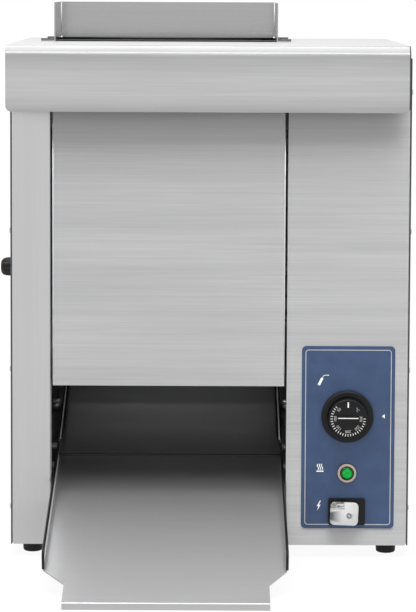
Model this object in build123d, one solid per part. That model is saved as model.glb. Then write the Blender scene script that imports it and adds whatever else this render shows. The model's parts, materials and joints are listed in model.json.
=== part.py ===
from build123d import *
import math
import os

# Bun toaster with upright contact conveyors, in millimetres.
# The cabinet frame has X to the right, Y to the back from the front sheets and Z up from the worktop.
# Each piece is modelled there, then moved so that the origin lies under the middle of the whole part.

# Cabinet
cabinet_width = 380.0        # over the two side covers
cabinet_depth = 315.0        # front sheets to the back face of the rear panel
cabinet_height = 490.0       # worktop to the top of the hood
foot_height = 12.0
sheet = 1.2                  # stainless sheet of all folded pieces
overrun = 5.0                # how far a cut runs past the faces it goes through
turning_gap = 0.05           # radial clearance of a turning fit
seat_gap = 0.3               # clearance of a piece that rests on or passes another
hole_gap = 0.2               # radial clearance of a screw in its hole

# Front frame
pillar_width = 38.0          # left cover's outer face to the opening
opening_width = 225.0
frame_drop = 22.0            # hood's top down to the top of the frame
frame_return = 14.0          # flange beside the opening
frame_side_flange = 40.0     # flange behind the side covers
rail_height = 20.0
rail_depth = 12.0

# Base pan and feet
pan_flange = 15.0
foot_radius = 10.0
foot_bottom_radius = 9.2
foot_edge = 2.0              # rounding of the foot's lower edge
foot_inset_x = 19.2
foot_inset_y = 27.0
foot_screw_length = 8.0

# Side covers and their screws
cover_drop = 12.0            # hood's top down to the top of the covers
cover_edge = 0.8             # rounding of the covers' outer front edge
cover_screw_low = 35.0       # lowest screws above the pan
cover_screw_drop = 44.0      # highest screws below the top of the hood
cover_screw_levels = 4
cover_screw_inset = 9.0
screw_radius = 2.0
screw_head_radius = 3.6
screw_head_height = 1.7
screw_head_edge = 1.3
screw_length = 8.0
nut_sides = 6

# Rear panel
rear_flange = 30.0
rear_screw_inset = 14.0
rear_screw_rise = 8.0
vent_length = 74.0
vent_height = 4.0
vent_corner = 1.9
vent_spacing = 14.0
vent_rows = 9
vent_drop = 116.0            # highest vents below the top of the hood

# Hood
hood_reach = 20.0            # in front of the front sheets
hood_left_overhang = 2.8
hood_right_inset = 3.0
skirt_height = 62.5
skirt_corner = 5.5
hood_bend = 10.0
hood_side_drop = 20.0
hood_screw_drop = 12.0
hood_screw_inset = 60.0      # outer screws from the side covers' outer faces
hood_screw_count = 3

# Front cover and its hinge pins
front_cover_gap = 2.0
front_cover_bottom = 165.5
front_cover_flange = 12.0
front_cover_above_pin = 8.0
pin_radius = 3.0
pin_reach = 8.0              # from the frame's flange into the opening
pin_head_radius = 5.0
pin_head = 2.0
pin_setback = 7.0
pin_above_skirt = 7.0        # above the lower edge of the hood's skirt

# Bun feeder
feeder_width = 224.0
feeder_depth = 100.0
feeder_height = 39.0
feeder_tail = 12.0           # side walls below the top of the hood
feeder_ear = 13.2
feeder_offset = 5.8          # feeder's middle to the left of the opening's middle
feeder_hem = 5.4             # doubled edge along the foot of the back wall
slot_gap = 1.0

# Inner walls
wall_plate = 2.0
wall_setback = 11.5          # wall face beside the opening's edge
wall_top_flange = 12.0
wall_flange_inset = 40.0

# Platen with its heaters
platen_setback = 123.0       # platen's middle in front of the cabinet's back face
platen_thickness = 22.0
platen_sink = 11.0           # platen's lower edge below the drive shafts
platen_drop = 49.0           # platen's top below the top of the hood
platen_taper = 18.0
platen_crest = 6.0
platen_end_gap = 8.0
bracket_height = 20.0
bracket_inset = 2.5
bracket_setback = 2.0
heater_radius = 4.5
heater_count = 3
heater_low = 40.0            # lowest rod above the platen's lower edge
heater_high = 46.0           # highest rod below the platen's top
heater_inset = 12.0
heater_tail = 14.0
heater_hole_gap = 1.5

# Conveyors
bun_gap = 28.0
belt_thickness = 2.0
belt_slack = 0.3
belt_side_gap = 5.5          # belt's edge beside the edge of the opening
roller_radius = 22.0
roller_overhang = 2.0
drive_height = 216.0
idler_drop = 58.0            # idler axes below the top of the hood
journal_radius = 6.0
journal_tail = 3.0
bush_radius = 9.0
bush_flange_radius = 12.0
bush_flange = 2.0
bush_press = 0.02

# Gear train
gear_count = 4               # in a row from the front shaft to the rear shaft
gear_teeth = 17
gear_width = 8.0
gear_gap = 0.5
gear_backlash = 0.3
pressure_angle = 20.0
addendum_share = 0.9
dedendum_share = 1.25
gear_pin_radius = 5.0
gear_pin_head_radius = 8.0
gear_pin_head = 1.5

# Gear motor
motor_standoff = 36.0
motor_plate = 2.5
motor_plate_size = 76.0
motor_post_radius = 4.0
motor_post_spacing = 60.0
motor_hole_gap = 3.0
gearbox_size = 62.0
gearbox_length = 26.0
gearbox_corner = 6.0
motor_radius = 27.0
motor_length = 30.0
motor_edge = 3.0
output_radius = 5.0
output_depth = 10.0
coupling_radius = 12.0
coupling_length = 20.0
coupling_gap = 3.0

# Bun thickness adjuster
adjuster_offset = 3.0        # behind the front roller axis
adjuster_rise = 48.2         # above the drive shafts
adjuster_radius = 5.0
adjuster_tail = 4.0
adjuster_cover_gap = 1.0
knob_radius = 10.8
knob_length = 19.5
knob_gap = 0.5
knob_edge = 3.0
knob_skirt = 6.0
knob_waist_radius = 9.2
eccentric_radius = 10.0
eccentric_throw = 3.0
eccentric_width = 8.0
eccentric_spacing = 140.0
plate_gap = 1.0
plate_thickness = 3.0
plate_margin = 10.0
plate_inset = 6.0
tab_height = 12.0
tab_inset = 31.0             # tab's middle from the plate's lower or upper edge

# Landing tray
chute_side_gap = 1.3         # tray and rear slide beside the edges of the opening
tray_reach = 202.0           # in front of the front sheets
tray_back = 96.0
tray_slope = 13.9            # degrees
tray_lip_height = 6.4
tray_lip_flange = 6.1
tray_lip_width = 183.0
tray_lip_offset = 1.7        # lip's middle to the right of the opening's middle
tray_wall_height = 16.0
tray_wall_front = 140.0
tray_lip_back = 168.0
tray_wall_short = 8.0
tray_wall_round = 6.0

# Rear slide and the rods below the chute
slide_lap = 3.0
slide_step = 0.6
slide_slope = 20.0           # degrees
slide_rear_gap = 25.0        # rear end in front of the cabinet's back face
slide_tail = 20.0
slide_wall_height = 14.0
chute_rod_radius = 4.0
chute_rod_inset = 22.0
tray_rod_inset = 14.0

# Control panel
label_width = 88.8
label_height = 175.7
label_corner = 4.3
label_thickness = 0.8
label_inset = 58.0           # plate's middle from the right cover's outer face
label_z = 116.5
control_inset = 58.8         # dial, lamp and switch from the same face

# Thermostat
dial_z = 137.0
bezel_radius = 24.8
bezel_inner_radius = 19.6
bezel_height = 5.0
bezel_edge = 1.6
dial_radius = 18.6
dial_length = 15.0
dial_gap = 0.6
dial_edge = 1.2
dial_rim = 1.4
dial_recess = 1.2
grip_width = 5.0
grip_length = 20.0
grip_corner = 2.3
grip_height = 1.0
spindle_radius = 3.0
spindle_length = 16.0
spindle_hole_gap = 2.0
thermostat_width = 46.0
thermostat_height = 36.0
thermostat_depth = 26.0
thermostat_corner = 4.0
bulb_radius = 3.0
bulb_length = 90.0
capillary_radius = 1.0
capillary_bend = 12.0
capillary_side = 20.0        # beside the thermostat's middle
capillary_drop = 80.0

# Indicator lamp
lamp_z = 82.3
lamp_radius = 9.0
lamp_lens_radius = 6.4
lamp_height = 2.4
lamp_edge = 0.8
lamp_dome = 3.0
lamp_body_radius = 5.5
lamp_body_length = 28.0
lamp_nut_radius = 8.5
lamp_nut_length = 4.0

# Power switch
switch_z = 45.1
switch_width = 35.3
switch_height = 25.6
switch_corner = 2.0
switch_flange = 2.5
switch_body_width = 30.0
switch_body_height = 21.4
switch_body_depth = 24.0
key_offset = 2.7             # rocker and cap stand left of the frame's middle
key_length = 16.6
key_height = 15.6
key_end_rise = 6.0
key_middle_rise = 4.0
key_depth = 3.0
key_gap = 1.6
key_tilt = 9.0               # degrees each way
key_pivot_radius = 1.5
key_pivot_length = 1.2
key_pivot_depth = 1.0        # pivot in front of the front sheets
key_well = 12.0
cap_width = 27.0
cap_height = 23.4
cap_rise = 7.5
cap_wall = 0.8
cap_corner = 4.0
cap_edge = 2.0

# Electrical fittings at the back
terminal_width = 56.0
terminal_depth = 24.0
terminal_height = 16.0
terminal_ways = 3
terminal_well_radius = 5.0
terminal_well_depth = 7.0
terminal_setback = 60.0
gland_z = 48.0
gland_radius = 11.0
gland_collar = 6.0
gland_collar_radius = 14.0
gland_reach = 20.0
gland_edge = 3.0
gland_bore_radius = 4.5
gland_nut_radius = 13.0
gland_nut_length = 5.0
gland_thread = 9.0
gland_thread_radius = 9.0

# Wires from the terminal block to the controls
wire_radius = 1.5
wire_bend = 20.0
wire_exit_drop = 9.0         # thermostat's outlet below its middle


def spread_evenly(low, high, count):
    """Places from low to high with equal steps."""
    return [low + n * (high - low) / (count - 1) for n in range(count)]


# Stations of the cabinet
left_face = -cabinet_width / 2
right_face = cabinet_width / 2
left_frame = left_face + sheet
right_frame = right_face - sheet
opening_left = left_face + pillar_width
opening_right = opening_left + opening_width
opening_middle = (opening_left + opening_right) / 2
column_middle = (opening_right + right_frame) / 2
frame_top = cabinet_height - frame_drop
hood_under = cabinet_height - sheet
skirt_bottom = cabinet_height - skirt_height
pin_height = skirt_bottom + pin_above_skirt
hood_left = left_face - hood_left_overhang
hood_right = right_face - hood_right_inset
pan_top = foot_height + sheet
rear_inside = cabinet_depth - sheet
left_wall = opening_left - wall_setback
right_wall = opening_right + wall_setback
left_wall_back = left_wall - wall_plate
right_wall_back = right_wall + wall_plate
wall_rear = rear_inside - sheet

# Stations of the controls
label_face = -label_thickness
label_x = right_face - label_inset
control_x = right_face - control_inset
key_x = control_x - key_offset
switch_face = label_face - switch_flange

# Stations of the platen's place and the feeder
platen_middle = cabinet_depth - platen_setback
feeder_middle = opening_middle - feeder_offset
feeder_left = feeder_middle - feeder_width / 2
feeder_right = feeder_middle + feeder_width / 2
feeder_front = platen_middle - feeder_depth / 2
feeder_rear = platen_middle + feeder_depth / 2

# Stations of the conveyors
belt_radius = roller_radius + belt_slack
axis_reach = platen_thickness / 2 + bun_gap + belt_thickness + belt_radius
front_axis = platen_middle - axis_reach
rear_axis = platen_middle + axis_reach
idler_height = cabinet_height - idler_drop
belt_width = opening_width - 2 * belt_side_gap
gear_pitch = 2 * axis_reach / (gear_count - 1)
gear_module = gear_pitch / gear_teeth
gear_start = right_wall_back + bush_flange + gear_gap
gear_end = gear_start + gear_width
transfer_axes = (front_axis + gear_pitch, front_axis + 2 * gear_pitch)
coupling_start = gear_end + coupling_gap
coupling_middle = coupling_start + coupling_length / 2
motor_plate_start = right_wall_back + motor_standoff
gearbox_start = motor_plate_start + motor_plate
motor_start = gearbox_start + gearbox_length
gear_right_end = gear_end + gear_gap
idler_right_end = right_wall_back + bush_flange + journal_tail
journals = [(y, z) for z in (drive_height, idler_height) for y in (front_axis, rear_axis)]

# Stations of the adjuster
adjuster_y = front_axis + adjuster_offset
adjuster_height = drive_height + adjuster_rise
plate_front = adjuster_y + eccentric_radius - eccentric_throw + plate_gap
plate_travel = 2 * eccentric_throw
plate_low = drive_height + roller_radius + plate_margin
plate_high = idler_height - roller_radius - plate_margin
tab_levels = (plate_low + tab_inset, plate_high - tab_inset)

# Stations of the platen
platen_front = platen_middle - platen_thickness / 2
platen_rear = platen_middle + platen_thickness / 2
platen_left = left_wall + platen_end_gap
platen_right = right_wall - platen_end_gap
platen_bottom = drive_height - platen_sink
platen_top = cabinet_height - platen_drop
heater_levels = spread_evenly(platen_bottom + heater_low, platen_top - heater_high, heater_count)
bulb_level = (heater_levels[0] + heater_levels[1]) / 2

# Stations of the chute
tray_rise = math.tan(math.radians(tray_slope))
slide_rise = math.tan(math.radians(slide_slope))
slide_front = tray_back - slide_lap
slide_back = cabinet_depth - slide_rear_gap
chute_width = opening_width - 2 * chute_side_gap


def tray_level(y):
    """Height of the tray's upper face."""
    return tray_lip_height + (y + tray_reach) * tray_rise


def slide_level(y):
    """Height of the rear slide's upper face."""
    start = tray_level(slide_front) + slide_step + sheet / math.cos(math.radians(slide_slope))
    return start + (y - slide_front) * slide_rise


# Where the middle of the whole part lies in the cabinet frame
part_left = left_face - knob_gap - knob_length
part_right = right_face + screw_head_height
part_front = -tray_reach
part_rear = cabinet_depth + gland_reach
part_middle_x = (part_left + part_right) / 2
part_middle_y = (part_front + part_rear) / 2


# Shapes that several pieces share

BASE = (Align.CENTER, Align.CENTER, Align.MIN)
CORNER = (Align.MIN, Align.MIN, Align.MIN)


def block(x, y, z):
    """Box whose sides are (low, high) pairs."""
    return Pos(x[0], y[0], z[0]) * Box(x[1] - x[0], y[1] - y[0], z[1] - z[0], align=CORNER)


def rod_x(x, y, z, radius):
    return Pos(x[0], y, z) * Rot(0, 90, 0) * Cylinder(radius, x[1] - x[0], align=BASE)


def rod_y(y, x, z, radius):
    return Pos(x, y[0], z) * Rot(-90, 0, 0) * Cylinder(radius, y[1] - y[0], align=BASE)


def rod_z(z, x, y, radius):
    return Pos(x, y, z[0]) * Cylinder(radius, z[1] - z[0], align=BASE)


def side_profile(points, x):
    """Outline in Y and Z, drawn out along X."""
    return extrude(Plane.YZ.offset(x[0]) * Polygon(*points, align=None), x[1] - x[0])


def folded_along_x(points, side, x, bends=None):
    """Sheet folded along a path in Y and Z, drawn out along X; the path is its inner face."""
    path = FilletPolyline(*points, radius=bends) if bends else Polyline(*points)
    outline = path.wire().offset_2d(sheet, kind=Kind.ARC, side=side)
    return extrude(Plane.YZ.offset(x[0]) * make_face(outline), x[1] - x[0])


def folded_along_z(points, side, z):
    """Sheet folded along a path in X and Y, drawn out along Z; the path is its inner face."""
    outline = Polyline(*points).wire().offset_2d(sheet, kind=Kind.ARC, side=side)
    return extrude(Pos(0, 0, z[0]) * make_face(outline), z[1] - z[0])


def front_plate(x, z, width, height, corner, y):
    """Rounded plate parallel to the front sheets, from y[1] forward to y[0]."""
    outline = Pos(x, z) * RectangleRounded(width, height, corner)
    return extrude(Plane.XZ.offset(-y[1]) * outline, y[1] - y[0])


def screw(length):
    """Domed screw along Z with the underside of its head at the origin."""
    head = Cylinder(screw_head_radius, screw_head_height, align=BASE)
    head = fillet(head.edges().group_by(Axis.Z)[-1], screw_head_edge)
    shank = Pos(0, 0, -length) * Cylinder(screw_radius, length, align=BASE)
    return head + shank


def screw_hole():
    reach = screw_length + overrun
    return Cylinder(screw_radius + hole_gap, 2 * reach)


def cut_all(body, tools):
    for tool in tools:
        body = body - tool
    return body


def spur_gear(y):
    """Spur gear about X with a tooth pointing to the back, before its bore is cut."""
    pitch_radius = gear_pitch / 2
    base_radius = pitch_radius * math.cos(math.radians(pressure_angle))
    tip_radius = pitch_radius + addendum_share * gear_module
    root_radius = pitch_radius - dedendum_share * gear_module
    slope = math.tan(math.radians(pressure_angle)) - math.radians(pressure_angle)
    half_tooth = math.pi / (2 * gear_teeth) - gear_backlash / (4 * pitch_radius) + slope

    def flank(radius, turn, hand):
        lean = math.acos(min(base_radius / radius, 1))
        angle = turn + hand * (half_tooth - math.tan(lean) + lean)
        return (radius * math.cos(angle), radius * math.sin(angle))

    def root(turn, hand):
        angle = turn + hand * half_tooth
        return (root_radius * math.cos(angle), root_radius * math.sin(angle))

    middle_radius = (base_radius + tip_radius) / 2
    edges = []
    for tooth in range(gear_teeth):
        turn = 2 * math.pi * tooth / gear_teeth
        following = turn + 2 * math.pi / gear_teeth
        rising = [flank(r, turn, -1) for r in (base_radius, middle_radius, tip_radius)]
        falling = [flank(r, turn, 1) for r in (tip_radius, middle_radius, base_radius)]
        edges.append(Line(root(turn, -1), rising[0]))
        edges.append(ThreePointArc(*rising))
        edges.append(Line(rising[2], falling[0]))
        edges.append(ThreePointArc(*falling))
        edges.append(Line(falling[2], root(turn, 1)))
        edges.append(Line(root(turn, 1), root(following, -1)))
    outline = Plane.YZ.offset(gear_start) * Pos(y, drive_height) * make_face(edges)
    return extrude(outline, gear_width)


# Cabinet pieces

def foot_places():
    xs = (left_face + foot_inset_x, right_face - foot_inset_x)
    ys = (foot_inset_y, cabinet_depth - foot_inset_y)
    return [(x, y) for x in xs for y in ys]


def make_base_pan():
    x = (left_frame + sheet, right_frame - sheet)
    y = (sheet, rear_inside)
    rim = (pan_top, foot_height + pan_flange)
    pan = block(x, y, (foot_height, pan_top))
    pan += block((x[0], x[0] + sheet), (frame_return + sheet, y[1]), (foot_height, rim[1]))
    pan += block((x[1] - sheet, x[1]), (frame_return + sheet, y[1]), (foot_height, rim[1]))
    pan += block(x, (y[1] - sheet, y[1]), (foot_height, rim[1]))
    front_x = (opening_left + front_cover_gap, opening_right - front_cover_gap)
    pan += block(front_x, (y[0], y[0] + sheet), (foot_height, rim[1]))
    pan = cut_all(pan, [Pos(px, py, foot_height) * screw_hole() for px, py in foot_places()])
    return cut_all(pan, rear_screw_holes(rear_screw_places()))


def make_feet():
    feet = []
    for x, y in foot_places():
        outline = [(0, 0), (foot_bottom_radius, 0), (foot_radius, foot_height), (0, foot_height)]
        foot = revolve(Plane.XZ * Polygon(*outline, align=None), Axis.Z)
        foot = fillet(foot.edges().group_by(Axis.Z)[0], foot_edge)
        socket = Cylinder(screw_radius + hole_gap, foot_screw_length, align=BASE)
        feet.append(Pos(x, y, 0) * (foot - Pos(0, 0, foot_height - foot_screw_length + sheet) * socket))
    return feet


def make_foot_screws():
    return [Pos(x, y, pan_top) * screw(foot_screw_length) for x, y in foot_places()]


def cover_screw_places():
    ys = (cover_screw_inset, cabinet_depth - cover_screw_inset)
    zs = spread_evenly(foot_height + cover_screw_low, cabinet_height - cover_screw_drop, cover_screw_levels)
    return [(y, z) for y in ys for z in zs]


def cover_screw_holes(face):
    return [Pos(face, y, z) * Rot(0, 90, 0) * screw_hole() for y, z in cover_screw_places()]


def make_side_cover(hand):
    """Flat side cover with a rounded front edge; hand is -1 left, 1 right."""
    outer = hand * cabinet_width / 2
    inner = outer - hand * sheet
    z = (foot_height, cabinet_height - cover_drop)
    cover = block(sorted((outer, inner)), (0, cabinet_depth), z)
    front_edges = cover.edges().filter_by(Axis.Z).group_by(Axis.Y)[0].sort_by(Axis.X)
    cover = fillet(front_edges[-1] if hand > 0 else front_edges[0], cover_edge)
    return cut_all(cover, cover_screw_holes(outer))


def make_left_side_cover():
    hole = adjuster_radius + adjuster_cover_gap
    through = (left_face - overrun, left_face + overrun)
    return make_side_cover(-1) - rod_x(through, adjuster_y, adjuster_height, hole)


def make_side_cover_screws():
    left = [Pos(left_face, y, z) * Rot(0, -90, 0) * screw(screw_length) for y, z in cover_screw_places()]
    right = [Pos(right_face, y, z) * Rot(0, 90, 0) * screw(screw_length) for y, z in cover_screw_places()]
    return left + right


def hinge_pin_hole(x):
    return rod_x((x - overrun, x + overrun), pin_setback, pin_height, pin_radius + turning_gap)


def make_left_pillar():
    path = [
        (left_frame + sheet, frame_side_flange),
        (left_frame + sheet, sheet),
        (opening_left - sheet, sheet),
        (opening_left - sheet, frame_return),
    ]
    pillar = folded_along_z(path, Side.RIGHT, (pan_top, frame_top))
    pillar += block((left_frame + sheet, opening_left - sheet), (0, sheet), (foot_height, pan_top))
    return cut_all(pillar, [hinge_pin_hole(opening_left)] + cover_screw_holes(left_face))


def make_control_column():
    path = [
        (opening_right + sheet, frame_return),
        (opening_right + sheet, sheet),
        (right_frame - sheet, sheet),
        (right_frame - sheet, frame_side_flange),
    ]
    column = folded_along_z(path, Side.RIGHT, (pan_top, frame_top))
    column += block((opening_right + sheet, right_frame - sheet), (0, sheet), (foot_height, pan_top))
    through = (-overrun, sheet + overrun)
    column -= rod_y(through, control_x, dial_z, spindle_radius + spindle_hole_gap)
    column -= rod_y(through, control_x, lamp_z, lamp_body_radius + hole_gap)
    column -= switch_cut(through)
    return cut_all(column, [hinge_pin_hole(opening_right)] + cover_screw_holes(right_face))


def switch_cut(y):
    x = (control_x - switch_body_width / 2 - hole_gap, control_x + switch_body_width / 2 + hole_gap)
    z = (switch_z - switch_body_height / 2 - hole_gap, switch_z + switch_body_height / 2 + hole_gap)
    return block(x, y, z)


def make_top_rail():
    path = [
        (sheet, frame_top - rail_height),
        (sheet, frame_top - sheet),
        (rail_depth, frame_top - sheet),
    ]
    return folded_along_x(path, Side.LEFT, (opening_left, opening_right))


def make_hinge_pins():
    pins = []
    for opening, hand in ((opening_left, -1), (opening_right, 1)):
        tip = opening - hand * pin_reach
        flange = opening + hand * sheet
        head = flange + hand * pin_head
        pin = rod_x(sorted((tip, flange)), pin_setback, pin_height, pin_radius)
        pins.append(pin + rod_x(sorted((flange, head)), pin_setback, pin_height, pin_head_radius))
    return pins


def rear_screw_places():
    xs = (left_face + sheet + rear_screw_inset, right_face - sheet - rear_screw_inset)
    return [(x, foot_height + rear_screw_rise) for x in xs]


def rear_screw_holes(places):
    return [Pos(x, cabinet_depth, z) * Rot(90, 0, 0) * screw_hole() for x, z in places]


def hood_screw_places():
    height = cabinet_height - hood_screw_drop
    outer = right_face - hood_screw_inset
    return [(x, height) for x in spread_evenly(-outer, outer, hood_screw_count)]


def make_rear_panel():
    x = (left_face + sheet, right_face - sheet)
    top = cabinet_height - cover_drop / 2
    panel = block(x, (rear_inside, cabinet_depth), (foot_height, top))
    flange_y = (rear_inside - rear_flange, rear_inside)
    panel += block((x[0], x[0] + sheet), flange_y, (foot_height, frame_top))
    panel += block((x[1] - sheet, x[1]), flange_y, (foot_height, frame_top))
    for row in range(vent_rows):
        level = cabinet_height - vent_drop - row * vent_spacing
        slot = RectangleRounded(vent_length, vent_height, vent_corner)
        place = Plane.XZ.offset(-cabinet_depth - overrun) * Pos(column_middle, level)
        panel -= extrude(place * slot, sheet + 2 * overrun)
    through = (rear_inside - overrun, cabinet_depth + overrun)
    panel -= rod_y(through, column_middle, gland_z, gland_thread_radius + hole_gap)
    panel = cut_all(panel, rear_screw_holes(rear_screw_places() + hood_screw_places()))
    return cut_all(panel, cover_screw_holes(left_face) + cover_screw_holes(right_face))


def make_rear_panel_screws():
    return [Pos(x, cabinet_depth, z) * Rot(-90, 0, 0) * screw(screw_length) for x, z in rear_screw_places()]


def make_top_hood():
    path = [
        (sheet - hood_reach, skirt_bottom),
        (sheet - hood_reach, hood_under),
        (cabinet_depth, hood_under),
        (cabinet_depth, cabinet_height - hood_side_drop),
    ]
    hood = folded_along_x(path, Side.LEFT, (hood_left, hood_right), [hood_bend - sheet, sheet])
    side_y = (sheet - hood_reach + hood_bend, rear_inside - sheet)
    side_z = (cabinet_height - hood_side_drop, hood_under)
    hood += block((hood_left, hood_left + sheet), side_y, side_z)
    hood += block((hood_right - sheet, hood_right), side_y, side_z)
    corners = hood.edges().filter_by(Axis.Y).group_by(Axis.Z)[0]
    hood = fillet(corners, skirt_corner)
    slot_x = (feeder_left - slot_gap, feeder_right + slot_gap)
    slot_y = (feeder_front - slot_gap, feeder_rear + slot_gap)
    hood -= block(slot_x, slot_y, (hood_under - overrun, cabinet_height + overrun))
    return cut_all(hood, rear_screw_holes(hood_screw_places()))


def make_hood_screws():
    face = cabinet_depth + sheet
    return [Pos(x, face, z) * Rot(-90, 0, 0) * screw(screw_length) for x, z in hood_screw_places()]


# Inner walls and the chute

def make_inner_wall(hand):
    """Chamber wall that carries the shafts, the platen and the chute; hand is -1 left, 1 right."""
    face, back = (left_wall, left_wall_back) if hand < 0 else (right_wall, right_wall_back)
    opening = opening_left if hand < 0 else opening_right
    wall = block(sorted((face, back)), (frame_return, wall_rear), (pan_top, hood_under))
    wall += block(sorted((back, opening)), (frame_return, frame_return + wall_plate), (pan_top, frame_top))
    flange_x = sorted((back, back + hand * wall_top_flange))
    flange_y = (wall_flange_inset, wall_rear - wall_flange_inset)
    wall += block(flange_x, flange_y, (hood_under - wall_plate, hood_under))
    through = (min(face, back) - overrun, max(face, back) + overrun)
    holes = [rod_x(through, y, z, bush_radius + bush_press) for y, z in journals]
    holes.append(rod_x(through, adjuster_y, adjuster_height, adjuster_radius + turning_gap))
    holes += [rod_x(through, y, z, chute_rod_radius + turning_gap) for y, z in chute_rod_places()]
    slot_y = (plate_front - seat_gap, plate_front + plate_thickness + plate_travel + seat_gap)
    for level in tab_levels:
        slot_z = (level - tab_height / 2 - seat_gap, level + tab_height / 2 + seat_gap)
        holes.append(block(through, slot_y, slot_z))
    if hand > 0:
        holes += [rod_x(through, platen_middle, z, heater_radius + heater_hole_gap) for z in heater_levels]
        holes.append(rod_x(through, platen_middle, bulb_level, bulb_radius + heater_hole_gap))
    return cut_all(wall, holes)


def chute_rod_places():
    """Rod centres that touch the underside of the tray once and of the rear slide twice."""
    def below(y, level, slope):
        angle = math.radians(slope)
        drop = sheet + seat_gap + chute_rod_radius
        return (y + drop * math.sin(angle), level - drop * math.cos(angle))

    tray_y = tray_back - tray_rod_inset
    slide_ys = (slide_front + chute_rod_inset, slide_back - chute_rod_inset)
    under_slide = [below(y, slide_level(y), slide_slope) for y in slide_ys]
    return [below(tray_y, tray_level(tray_y), tray_slope)] + under_slide


def make_chute_rods():
    return [rod_x((left_wall_back, right_wall_back), y, z, chute_rod_radius) for y, z in chute_rod_places()]


def chute_walls(front, rear, level, height, rounding):
    """Two upright side walls that follow the floor of a chute."""
    walls = []
    for hand in (-1, 1):
        outer = opening_middle + hand * chute_width / 2
        lean = height * (level(rear) - level(front)) / (rear - front)
        points = [
            (front, level(front)),
            (rear, level(rear)),
            (rear, level(rear) + height),
            (front - lean, level(front) + height),
        ]
        wall = side_profile(points, sorted((outer, outer - hand * sheet)))
        crest = wall.edges().filter_by(Axis.X).sort_by(Axis.Y)[0]
        walls.append(fillet(crest, rounding) if rounding else wall)
    return walls


def make_landing_tray():
    half = chute_width / 2
    lip_half = tray_lip_width / 2
    lip_middle = opening_middle + tray_lip_offset
    under = sheet / math.cos(math.radians(tray_slope))
    path = [
        (sheet - tray_reach, tray_lip_height - tray_lip_flange),
        (sheet - tray_reach, tray_level(sheet - tray_reach) - under),
        (tray_back, tray_level(tray_back) - under),
    ]
    span = (opening_middle - half, opening_middle + half)
    tray = folded_along_x(path, Side.LEFT, span)
    for hand in (-1, 1):
        corner = [
            (lip_middle + hand * lip_half, -tray_reach - overrun),
            (lip_middle + hand * lip_half, -tray_lip_back),
            (opening_middle + hand * half, -tray_wall_front),
            (opening_middle + hand * (half + overrun), -tray_wall_front),
            (opening_middle + hand * (half + overrun), -tray_reach - overrun),
        ]
        tray -= extrude(Polygon(*corner, align=None), tray_level(0), both=True)
    walls_end = tray_back - tray_wall_short
    for wall in chute_walls(-tray_wall_front, walls_end, tray_level, tray_wall_height, tray_wall_round):
        tray += wall
    return tray


def make_rear_slide():
    half = chute_width / 2
    under = sheet / math.cos(math.radians(slide_slope))
    path = [
        (slide_front, slide_level(slide_front) - under),
        (slide_back, slide_level(slide_back) - under),
        (slide_back, slide_level(slide_back) + slide_tail),
    ]
    slide = folded_along_x(path, Side.LEFT, (opening_middle - half, opening_middle + half))
    for wall in chute_walls(slide_front, slide_back - sheet, slide_level, slide_wall_height, 0):
        slide += wall - block((left_face, right_face), (-tray_reach, slide_front), (0, cabinet_height))
    return slide


# Front cover and feeder

def make_front_cover():
    x = (opening_left + front_cover_gap, opening_right - front_cover_gap)
    path = [
        (x[0] + sheet, front_cover_flange),
        (x[0] + sheet, sheet),
        (x[1] - sheet, sheet),
        (x[1] - sheet, front_cover_flange),
    ]
    cover = folded_along_z(path, Side.RIGHT, (front_cover_bottom, pin_height + front_cover_above_pin))
    inside = (x[0] + sheet, x[1] - sheet)
    cover += block(inside, (sheet, front_cover_flange), (front_cover_bottom, front_cover_bottom + sheet))
    return cut_all(cover, [hinge_pin_hole(x[0]), hinge_pin_hole(x[1])])


def make_bun_feeder():
    path = [
        (feeder_left + sheet, feeder_front),
        (feeder_left + sheet, feeder_rear - sheet),
        (feeder_right - sheet, feeder_rear - sheet),
        (feeder_right - sheet, feeder_front),
    ]
    top = cabinet_height + feeder_height
    feeder = folded_along_z(path, Side.LEFT, (cabinet_height - feeder_tail, top))
    ear_z = (cabinet_height + seat_gap, cabinet_height + seat_gap + sheet)
    between = (feeder_left + 2 * sheet, feeder_right - 2 * sheet)
    feeder -= block(between, (feeder_front, feeder_rear + overrun), (hood_under - feeder_tail, hood_under))
    ear_y = (feeder_front, feeder_rear - sheet)
    feeder += block((feeder_left - feeder_ear, feeder_left + sheet), ear_y, ear_z)
    feeder += block((feeder_right - sheet, feeder_right + feeder_ear), ear_y, ear_z)
    hem_x = (feeder_left + sheet, feeder_right - sheet)
    hem_z = (cabinet_height + seat_gap, cabinet_height + feeder_hem)
    feeder += block(hem_x, (feeder_rear - 2 * sheet, feeder_rear - sheet), hem_z)
    return feeder


# Platen

def make_platen():
    points = [
        (platen_front, platen_bottom),
        (platen_rear, platen_bottom),
        (platen_rear, platen_top - platen_taper),
        (platen_middle + platen_crest / 2, platen_top),
        (platen_middle - platen_crest / 2, platen_top),
        (platen_front, platen_top - platen_taper),
    ]
    platen = side_profile(points, (platen_left, platen_right))
    bore = (platen_left + heater_inset, platen_right + overrun)
    platen = cut_all(platen, [rod_x(bore, platen_middle, z, heater_radius) for z in heater_levels])
    pocket = (platen_right - bulb_length, platen_right + overrun)
    return platen - rod_x(pocket, platen_middle, bulb_level, bulb_radius)


def make_heater_rods():
    x = (platen_left + heater_inset, right_wall_back + heater_tail)
    return [rod_x(x, platen_middle, z, heater_radius) for z in heater_levels]


def make_platen_brackets():
    y = (platen_front + bracket_setback, platen_rear - bracket_setback)
    lows = (platen_bottom + bracket_inset, platen_top - platen_taper - bracket_inset - bracket_height)
    sides = ((left_wall, platen_left), (platen_right, right_wall))
    return [block(x, y, (low, low + bracket_height)) for x in sides for low in lows]


# Conveyors and drive

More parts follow.
